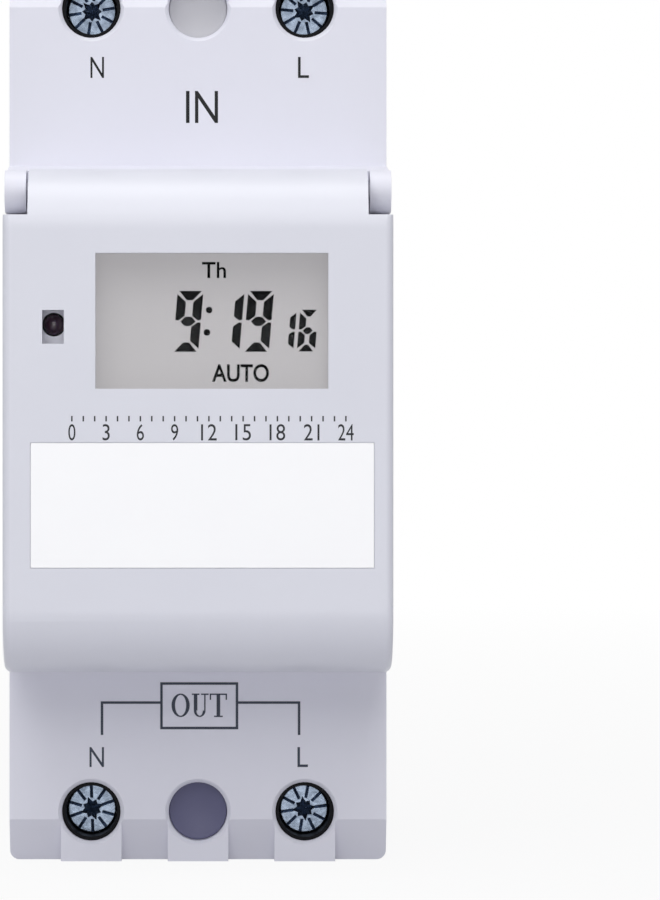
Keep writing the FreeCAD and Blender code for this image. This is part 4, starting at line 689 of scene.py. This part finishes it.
def letters(name, text, left, right, low, high, surface, material, body="housing", bold=0.0):
    """Flat lettering that fills a box in x and z, in millimetres, just proud of a front surface."""
    curve = bpy.data.curves.new(name, "FONT")
    curve.body = text
    curve.offset = bold
    curve.extrude = 0.5
    curve.resolution_u = 6
    flat = finished_mesh(new_object(name + "_curve", curve))
    xs = [corner.co.x for corner in flat.vertices]
    ys = [corner.co.y for corner in flat.vertices]
    scale = ((right - left) * MM / (max(xs) - min(xs)), (high - low) * MM / (max(ys) - min(ys)),
             FILM_THICK * MM, 1)
    flat.transform(Matrix.Translation((left * MM, surface + (FILM_THICK / 2 - PROUD) * MM, low * MM))
                   @ Matrix.Rotation(math.radians(90), 4, "X")
                   @ Matrix.Diagonal(scale)
                   @ Matrix.Translation((-min(xs), -min(ys), 0)))
    shape = bmesh.new()
    shape.from_mesh(flat)
    bmesh.ops.remove_doubles(shape, verts=shape.verts, dist=0.0005 * MM)
    return new_piece(name, finished(shape, name), material, body)


letters("lcd_day", "Th", 0.37, 2.60, 55.36, 56.85, glass_front, segment_ink, bold=0.012)
letters("lcd_mode", "AUTO", 1.30, 6.60, 45.70, 47.37, glass_front, segment_ink, bold=0.02)

# Signal lamp: a small light-emitting diode whose domed lens is cast in tinted epoxy. It stands
# on its two legs behind a hole in the platform.

# The epoxy lets a little light in, so the unlit dome looks deep violet with a sharp glint.
lamp_lens, tree, shader = new_material("tinted cast epoxy", Roughness=0.12, IOR=1.55,
                                        Subsurface_Weight=0.3, Subsurface_Scale=0.0005)
tint(tree, shader, "#352433", "#472f40", spot_mm=1.5)
softened("status_lamp", lamp_lens, edge_mm=0.06)

# Keys: eight round caps moulded in grey plastic. Each has a dished top, a flange that holds it
# behind the front wall, and a stem that rests on its switch.
KEY_EDGE = 0.35
# Matt moulded grey: the dish shows only as a slow change of shade.
key_plastic = moulded_plastic("moulded grey key", "#8b909a", "#979ca6", 0.38, 0.5)
KEY_DISH = 0.18
FLANGE = 0.5
FLANGE_THICK = 0.9
CAP_LONG = 2.3
STEM_RADIUS = 1.5
ARC_STEPS = 6
for number in range(1, 9):
    name = f"key_{number}"
    low, high = (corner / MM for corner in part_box(name))
    flange_radius = (high.x - low.x) / 2
    depth = high.y - low.y
    cap_radius = flange_radius - FLANGE
    profile = [(0, 0), (STEM_RADIUS, 0), (STEM_RADIUS, depth - CAP_LONG - FLANGE_THICK),
               (flange_radius, depth - CAP_LONG - FLANGE_THICK), (flange_radius, depth - CAP_LONG),
               (cap_radius, depth - CAP_LONG), (cap_radius, depth - KEY_EDGE)]
    for step in range(1, ARC_STEPS + 1):
        turn = math.radians(90 * step / ARC_STEPS)
        profile.append((cap_radius - KEY_EDGE * (1 - math.cos(turn)),
                        depth - KEY_EDGE * (1 - math.sin(turn))))
    for step in range(1, ARC_STEPS):
        radius = (cap_radius - KEY_EDGE) * (1 - step / ARC_STEPS)
        profile.append((radius, depth - KEY_DISH * (1 - (radius / (cap_radius - KEY_EDGE)) ** 2)))
    profile.append((0, depth - KEY_DISH))
    cap = turned_mesh(profile, ROUND_SIDES)
    face_front(cap, low, high, high.y)
    piece = new_piece(f"key_cap_{number}", cap, key_plastic, f"key_body_{number}")
    soften(piece, edge_mm=0.06, from_angle=35)
    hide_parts(name)

# Front shell of the housing: both terminal shoulders and the platform under the cover, moulded
# in one piece of the same ABS. It's screwed to the rear shell from behind.

# The mould of the front faces is polished finer, so they're a shade lighter and glossier.
front_plastic = moulded_plastic("moulded ABS front shell", "#e3e3ed", "#e8e8f1", 0.36, 0.46)
softened("front_housing", front_plastic, edge_mm=0.16)

# Well plugs: moulded blanks pressed into the two unused middle wells, each face slightly dished. Their
# colours are painted light and shade: the lower one is a dark violet-grey for the shade deep in its well,
# and the upper one is pale for the light that falls into its well.
# Both are matt, so the dish shows only as a soft fall of light from the rim to the middle.
PLUG_RADIUS = 2.77
PLUG_BACK = 35.0
PLUG_FRONT = 42.6
PLUG_DISH = ((0, 0), (0.25, 0), (0.7, 0.2), (1.6, 0.45), (PLUG_RADIUS, 0.6))
# Each end's two colours: painted shade for the lower well, painted light for the upper one.
for end, darker, lighter in (("out", "#5a5a78", "#636382"), ("in", "#bebec3", "#c6c5ca")):
    plug_painted_light = moulded_plastic(f"moulded ABS plug {end}", darker, lighter, 0.5, 0.62)
    low, high = (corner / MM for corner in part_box(f"terminal_screw_{end}_n"))
    dish = [(PLUG_RADIUS - inwards, PLUG_FRONT - dip) for inwards, dip in PLUG_DISH]
    plug = turned_mesh([(0, PLUG_BACK), (PLUG_RADIUS, PLUG_BACK)] + dish, ROUND_SIDES)
    # The middle wells are in line with the screws beside them.
    low.x = high.x = 0
    face_front(plug, low, high, RAIL_Y)
    piece = new_piece("well_plug_" + end, plug, plug_painted_light)
    soften(piece, edge_mm=0.08)

# Lettering of the shoulders: pad-printed ink, in near black at the supply end and slate blue
# at the switched end, with a plain drawing of the outlet between its two terminals. A soft
# silicone pad lays each print down as a film a few hundredths of a millimetre thick.

# Matt printing ink: hardly any shine, so the letters stay dark whatever faces them.
supply_ink, tree, shader = new_material("near-black pad-printing ink", Roughness=0.42, IOR=1.3)
tint(tree, shader, "#0d0d10", "#131317", spot_mm=1)
# The slate ink has a little more shine, which lifts it to a blue grey.
outlet_ink, tree, shader = new_material("slate pad-printing ink", Roughness=0.42, IOR=1.38)
tint(tree, shader, "#2a3040", "#333a4a", spot_mm=1)
shoulder = -16.75 * MM
letters("mark_in_n", "N", -10.27, -8.98, 74.81, 76.82, shoulder, supply_ink)
letters("mark_in_l", "L", 9.55, 10.6, 74.81, 76.82, shoulder, supply_ink)
letters("mark_in", "IN", -1.15, 1.91, 70.51, 73.57, shoulder, supply_ink)
letters("mark_out_n", "N", -10.36, -8.98, 9.0, 10.91, shoulder, outlet_ink)
letters("mark_out_l", "L", 9.5, 10.5, 9.0, 10.91, shoulder, outlet_ink)

# Key names: small words pad-printed over the eight keys on the platform, which the closed cover
# hides. They're in the supply end's ink.
platform = -30.25 * MM
LETTER_HALF, WORD_HEIGHT = 0.3, 0.95
KEY_NAMES = (("DAY", -11.1, 39.3), ("HOUR", -3.7, 39.3), ("MIN", 3.7, 39.3), ("PROG", 11.1, 39.3),
             ("CLOCK", -11.1, 30.9), ("MODE", -3.7, 30.9), ("CLEAR", 3.7, 30.9), ("RESET", 11.1, 30.9))
for number, (word, x, z) in enumerate(KEY_NAMES, 1):
    half = LETTER_HALF * len(word)
    letters(f"key_name_{number}", word, x - half, x + half, z, z + WORD_HEIGHT, platform, supply_ink)

# Outlet drawing: a framed word with a line to each of the two terminals, in the slate ink of
# the same print.
PRINT_LINE = 0.24


def bar(shape, left, right, low, high, thick=FILM_THICK):
    """A level or upright bar of a print."""
    plate(shape, [(left, low), (right, low), (right, high), (left, high)], thick)


drawing = bmesh.new()
box_left, box_right, box_low, box_high = -3.49, 3.72, 12.73, 16.98
lead_height, lead_foot, lead_left, lead_right = 15.16, 12.06, -9.17, 9.65
half = PRINT_LINE / 2
for z in (box_low, box_high):
    bar(drawing, box_left - half, box_right + half, z - half, z + half)
for x in (box_left, box_right):
    bar(drawing, x - half, x + half, box_low + half, box_high - half)
for left, right in ((lead_left - half, box_left - half), (box_right + half, lead_right + half)):
    bar(drawing, left, right, lead_height - half, lead_height + half)
for x in (lead_left, lead_right):
    bar(drawing, x - half, x + half, lead_foot, lead_height - half)
drawing = finished(drawing, "outlet_drawing")
drawing.transform(Matrix.Translation((0, shoulder, 0)))
new_piece("outlet_drawing", drawing, outlet_ink)

# Word of the outlet drawing: a printed word whose letters have thick stems, thin curves and
# flat serifs. Each letter is built of thin plates in the same ink.
LETTER_LOW, LETTER_HIGH = 13.78, 16.02
STEM, HAIR = 0.34, 0.13
SERIF_THICK = FILM_THICK * 0.9
U_SERIF, T_SERIF, T_DROP = 0.36, 0.42, 0.6
word = bmesh.new()


def ring_parts(shape, centre, outer, inner, start, stop, steps):
    """Short plates along an oval stroke whose width changes from side to top."""
    turns = [start + (stop - start) * n / steps for n in range(steps + 1)]
    for here, there in zip(turns, turns[1:]):
        corners = [(centre[0] + size[0] * math.cos(turn), centre[1] + size[1] * math.sin(turn))
                   for size, turn in ((outer, here), (outer, there), (inner, there), (inner, here))]
        plate(shape, corners)


o_middle, o_half = -1.66, 0.87
tall = (LETTER_HIGH - LETTER_LOW) / 2
ring_parts(word, (o_middle, LETTER_LOW + tall), (o_half, tall), (o_half - STEM, tall - HAIR),
           0, math.tau, 36)
u_left, u_right, u_low = -0.40, 0.72, LETTER_LOW + 0.62
bar(word, u_left, u_left + STEM, u_low, LETTER_HIGH)
bar(word, u_right - HAIR, u_right, u_low, LETTER_HIGH)
u_half = (u_right - u_left) / 2
ring_parts(word, ((u_left + u_right) / 2, u_low), (u_half, u_low - LETTER_LOW),
           (u_half - STEM * 0.75, u_low - LETTER_LOW - HAIR), math.pi, math.tau, 16)
for x in (u_left + STEM / 2, u_right - HAIR / 2):
    bar(word, x - U_SERIF, x + U_SERIF, LETTER_HIGH - HAIR, LETTER_HIGH, SERIF_THICK)
t_left, t_right = 1.12, 2.77
t_middle = (t_left + t_right) / 2
bar(word, t_left, t_right, LETTER_HIGH - HAIR, LETTER_HIGH)
bar(word, t_middle - STEM / 2, t_middle + STEM / 2, LETTER_LOW, LETTER_HIGH - HAIR)
bar(word, t_middle - T_SERIF, t_middle + T_SERIF, LETTER_LOW, LETTER_LOW + HAIR, SERIF_THICK)
for left in (t_left, t_right - HAIR):
    bar(word, left, left + HAIR, LETTER_HIGH - T_DROP, LETTER_HIGH - HAIR, SERIF_THICK)
word = finished(word, "outlet_word")
word.transform(Matrix.Translation((0, shoulder, 0)))
new_piece("outlet_word", word, outlet_ink)

# Display pane: a clear polycarbonate plate, cut from extruded sheet and set flush into the
# platform over the display, where it keeps dust and fingers off the glass.

# The pane is see-through, so its surface counts for only a small share: a faint veil and a
# weak reflection over the display.
clear_pane, tree, shader = new_material("clear polycarbonate", Roughness=0.04, IOR=1.58, Alpha=0.04)
tint(tree, shader, "#23272a", "#2b2f33", spot_mm=10)
softened("display_window", clear_pane, edge_mm=0.08)

# Flip cover: a thin tray of ABS on two moulded pins, whose top and bottom roll back in a large
# curve. The pins snap into the ears of the platform.

# Glossier than the housing, so the rolled ends carry a long soft band of light.
cover_plastic = moulded_plastic("moulded ABS cover", "#dedfe8", "#e3e4ec", 0.30, 0.38,
                                grain_mm=0.3, height_mm=0.003)
softened("flip_cover", cover_plastic, edge_mm=0.1, body="cover")

# Label: a blank white film, die-cut with round corners and pressed into its recess in the
# cover's face. Its glue holds it flat.

# The film is given a faint painted glow of its own, so it looks whiter than the plastic round it.
label_film, tree, shader = new_material("blank white film with a painted glow", Roughness=0.45, IOR=1.5,
                                        Emission_Strength=0.09)
tint(tree, shader, "#fcfcfd", "#ffffff", spot_mm=8)
softened("blank_label", label_film, edge_mm=0.05, body="cover", steps=1)

# Hour scale: a plain row of numbers every three hours with a tick for each hour, pad-printed
# between the window and the label.

# The grey ink is matt, so the thin strokes keep one even tone.
scale_ink, tree, shader = new_material("grey pad-printing ink", Roughness=0.42, IOR=1.35)
tint(tree, shader, "#222328", "#2a2b31", spot_mm=1)
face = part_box("flip_cover")[0].y
SCALE_LEFT, SCALE_RIGHT = -11.6, 13.6
SCALE_LOW, SCALE_HIGH = 40.3, 41.8
TICK_WIDTH, TICK_LENGTH, TICK_GAP = 0.14, 0.5, 0.25
HOURS = 24
NUMBER_WIDTH = 0.78
NUMBER_SPACE = 0.12
for hour in range(0, HOURS + 1, 3):
    middle = SCALE_LEFT + (SCALE_RIGHT - SCALE_LEFT) * hour / HOURS
    half = (NUMBER_WIDTH * len(str(hour)) - NUMBER_SPACE) / 2
    letters(f"hour_{hour}", str(hour), middle - half, middle + half, SCALE_LOW, SCALE_HIGH,
            face, scale_ink, "cover")


def tick_tree(sizes):
    """A row of thin upright ticks."""
    tree, given, out = node_tree("hour_ticks", sizes)
    span = add_node(tree, "ShaderNodeCombineXYZ", {"X": given["Length of row"]})
    row = add_node(tree, "GeometryNodeCurvePrimitiveLine", {"End": span.outputs[0]})
    points = add_node(tree, "GeometryNodeCurveToPoints", {"Curve": row.outputs[0], "Count": given["Count"]})
    size = add_node(tree, "ShaderNodeCombineXYZ", {
        "X": given["Width"], "Y": given["Thickness"], "Z": given["Height"]})
    tick = add_node(tree, "GeometryNodeMeshCube", {"Size": size.outputs[0]})
    placed = add_node(tree, "GeometryNodeInstanceOnPoints", {
        "Points": points.outputs[0], "Instance": tick.outputs[0]})
    finish_tree(tree, out, placed.outputs[0], scale_ink)
    return tree


tick_sizes = {"Length of row": (SCALE_RIGHT - SCALE_LEFT) * MM, "Count": HOURS + 1,
              "Width": TICK_WIDTH * MM, "Thickness": FILM_THICK * MM, "Height": TICK_LENGTH * MM}
ticks = grown_mesh(tick_tree(tick_sizes), tick_sizes)
ticks.transform(Matrix.Translation((SCALE_LEFT * MM, face + (FILM_THICK / 2 - PROUD) * MM,
                                    (SCALE_HIGH + TICK_GAP + TICK_LENGTH / 2) * MM)))
new_piece("hour_ticks", ticks, None, "cover")

# Shell screws: four cross-head screws of zinc-plated steel. They're driven from behind, through
# the rear shell into posts of the front one, and hold the two shells together.
softened("shell_screws", plated_steel, edge_mm=0.12)

# Floor: a wide sheet of white studio paper that the device stands on. It catches the shadow
# near the foot and turns pure white farther away, like the backdrop.
floor_mesh = bpy.data.meshes.new("floor")
FLOOR_REACH = 4.0
corners = [(x * FLOOR_REACH, y * FLOOR_REACH, 0) for x, y in ((-1, -1), (1, -1), (1, 1), (-1, 1))]
floor_mesh.from_pydata(corners, [], [(0, 1, 2, 3)])
floor = new_object("floor", floor_mesh)
# Matt paper: the camera sees mostly its even white and a little of the shadow that falls on it.
# Everything else meets plain pale paper, so the floor throws no extra light on the device.
floor_white, tree, _ = new_material("white paper floor")
tree.nodes.clear()
PAPER_SHARE = 0.92
FADE_FROM = 0.10
FADE_TO = 0.55


def seen_directly(tree):
    """1 for what is seen straight on, in a reflection or through the pane, and 0 otherwise."""
    paths = add_node(tree, "ShaderNodeLightPath").outputs
    seen = add_node(tree, "ShaderNodeMath", {
        0: paths["Is Camera Ray"], 1: paths["Is Glossy Ray"]}, operation="MAXIMUM")
    seen = add_node(tree, "ShaderNodeMath", {
        0: seen.outputs[0], 1: paths["Is Transmission Ray"]}, operation="MAXIMUM")
    return seen.outputs[0]


place = add_node(tree, "ShaderNodeTexCoord")
distance = add_node(tree, "ShaderNodeVectorMath", {0: place.outputs["Object"]}, operation="LENGTH")
far = add_node(tree, "ShaderNodeMapRange", {
    "Value": distance.outputs["Value"], "From Min": FADE_FROM, "From Max": FADE_TO,
    "To Min": PAPER_SHARE, "To Max": 1.0})
share = add_node(tree, "ShaderNodeMath", {
    0: seen_directly(tree), 1: far.outputs[0]}, operation="MULTIPLY")
paper = add_node(tree, "ShaderNodeBsdfDiffuse", {"Color": colour("#cfcfd3")})
glow = add_node(tree, "ShaderNodeEmission", {"Color": (1, 1, 1, 1), "Strength": 1.0})
mixed = add_node(tree, "ShaderNodeMixShader", {
    "Fac": share.outputs[0], 1: paper.outputs[0], 2: glow.outputs[0]})
add_node(tree, "ShaderNodeOutputMaterial", {"Surface": mixed.outputs[0]})
floor_mesh.materials.append(floor_white)

# Room: a white backdrop far away on every side. Seen directly, in a reflection or through the
# pane it's pure white, while the light it throws on the device is much weaker.
world = bpy.data.worlds.new("studio")
bpy.context.scene.world = world
world.use_nodes = True
tree = world.node_tree
tree.nodes.clear()
ROOM_LIGHT = 0.36
room = add_node(tree, "ShaderNodeBackground", {"Color": colour("#f4f5fa"), "Strength": ROOM_LIGHT})
white = add_node(tree, "ShaderNodeBackground", {"Color": (1, 1, 1, 1), "Strength": 1.0})
mixed = add_node(tree, "ShaderNodeMixShader", {
    "Fac": seen_directly(tree), 1: room.outputs[0], 2: white.outputs[0]})
add_node(tree, "ShaderNodeOutputWorld", {"Surface": mixed.outputs[0]})

# Lamps: three square soft boxes. The top one gives the bright roll of the cover and the shade
# under it, the front one lights the faces from above, and the low one fills the shade.
AIM = Vector((0, -20, 43))


def soft_box(name, place_mm, size_mm, watts):
    """A square studio lamp, aimed at the middle of the device."""
    lamp = bpy.data.lights.new(name, "AREA")
    lamp.energy = watts
    lamp.size = size_mm * MM
    thing = new_object(name, lamp)
    thing.location = Vector(place_mm) * MM
    thing.rotation_euler = (AIM - Vector(place_mm)).to_track_quat("-Z", "Y").to_euler()


soft_box("top lamp", (-60, -140, 700), size_mm=420, watts=1.7)
soft_box("front lamp", (-60, -480, 380), size_mm=420, watts=1.3)
soft_box("fill lamp", (0, -600, -60), size_mm=260, watts=0.8)

# Camera: straight in front of the device at the height of its middle, as in the photo. The
# picture is shifted in the film plane, so upright edges stay upright.
camera_data = bpy.data.cameras.new("camera")
CAMERA_DISTANCE = 415.0
CAMERA_HEIGHT = 43.1
FOCAL_PIXELS = 4513.0
PICTURE_WIDTH = 660
PICTURE_HEIGHT = 900
AXIS_PIXEL = (198.0, 410.0)
camera_data.sensor_width = 36.0
camera_data.lens = FOCAL_PIXELS / PICTURE_HEIGHT * camera_data.sensor_width
camera_data.shift_x = (PICTURE_WIDTH / 2 - AXIS_PIXEL[0]) / PICTURE_HEIGHT
camera_data.shift_y = (AXIS_PIXEL[1] - PICTURE_HEIGHT / 2) / PICTURE_HEIGHT
camera = new_object("camera", camera_data)
front_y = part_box("flip_cover")[0].y
camera.location = (0, front_y - CAMERA_DISTANCE * MM, CAMERA_HEIGHT * MM)
camera.rotation_euler = (math.radians(90), 0, 0)
bpy.context.scene.camera = camera
bpy.context.scene.view_settings.view_transform = "Standard"
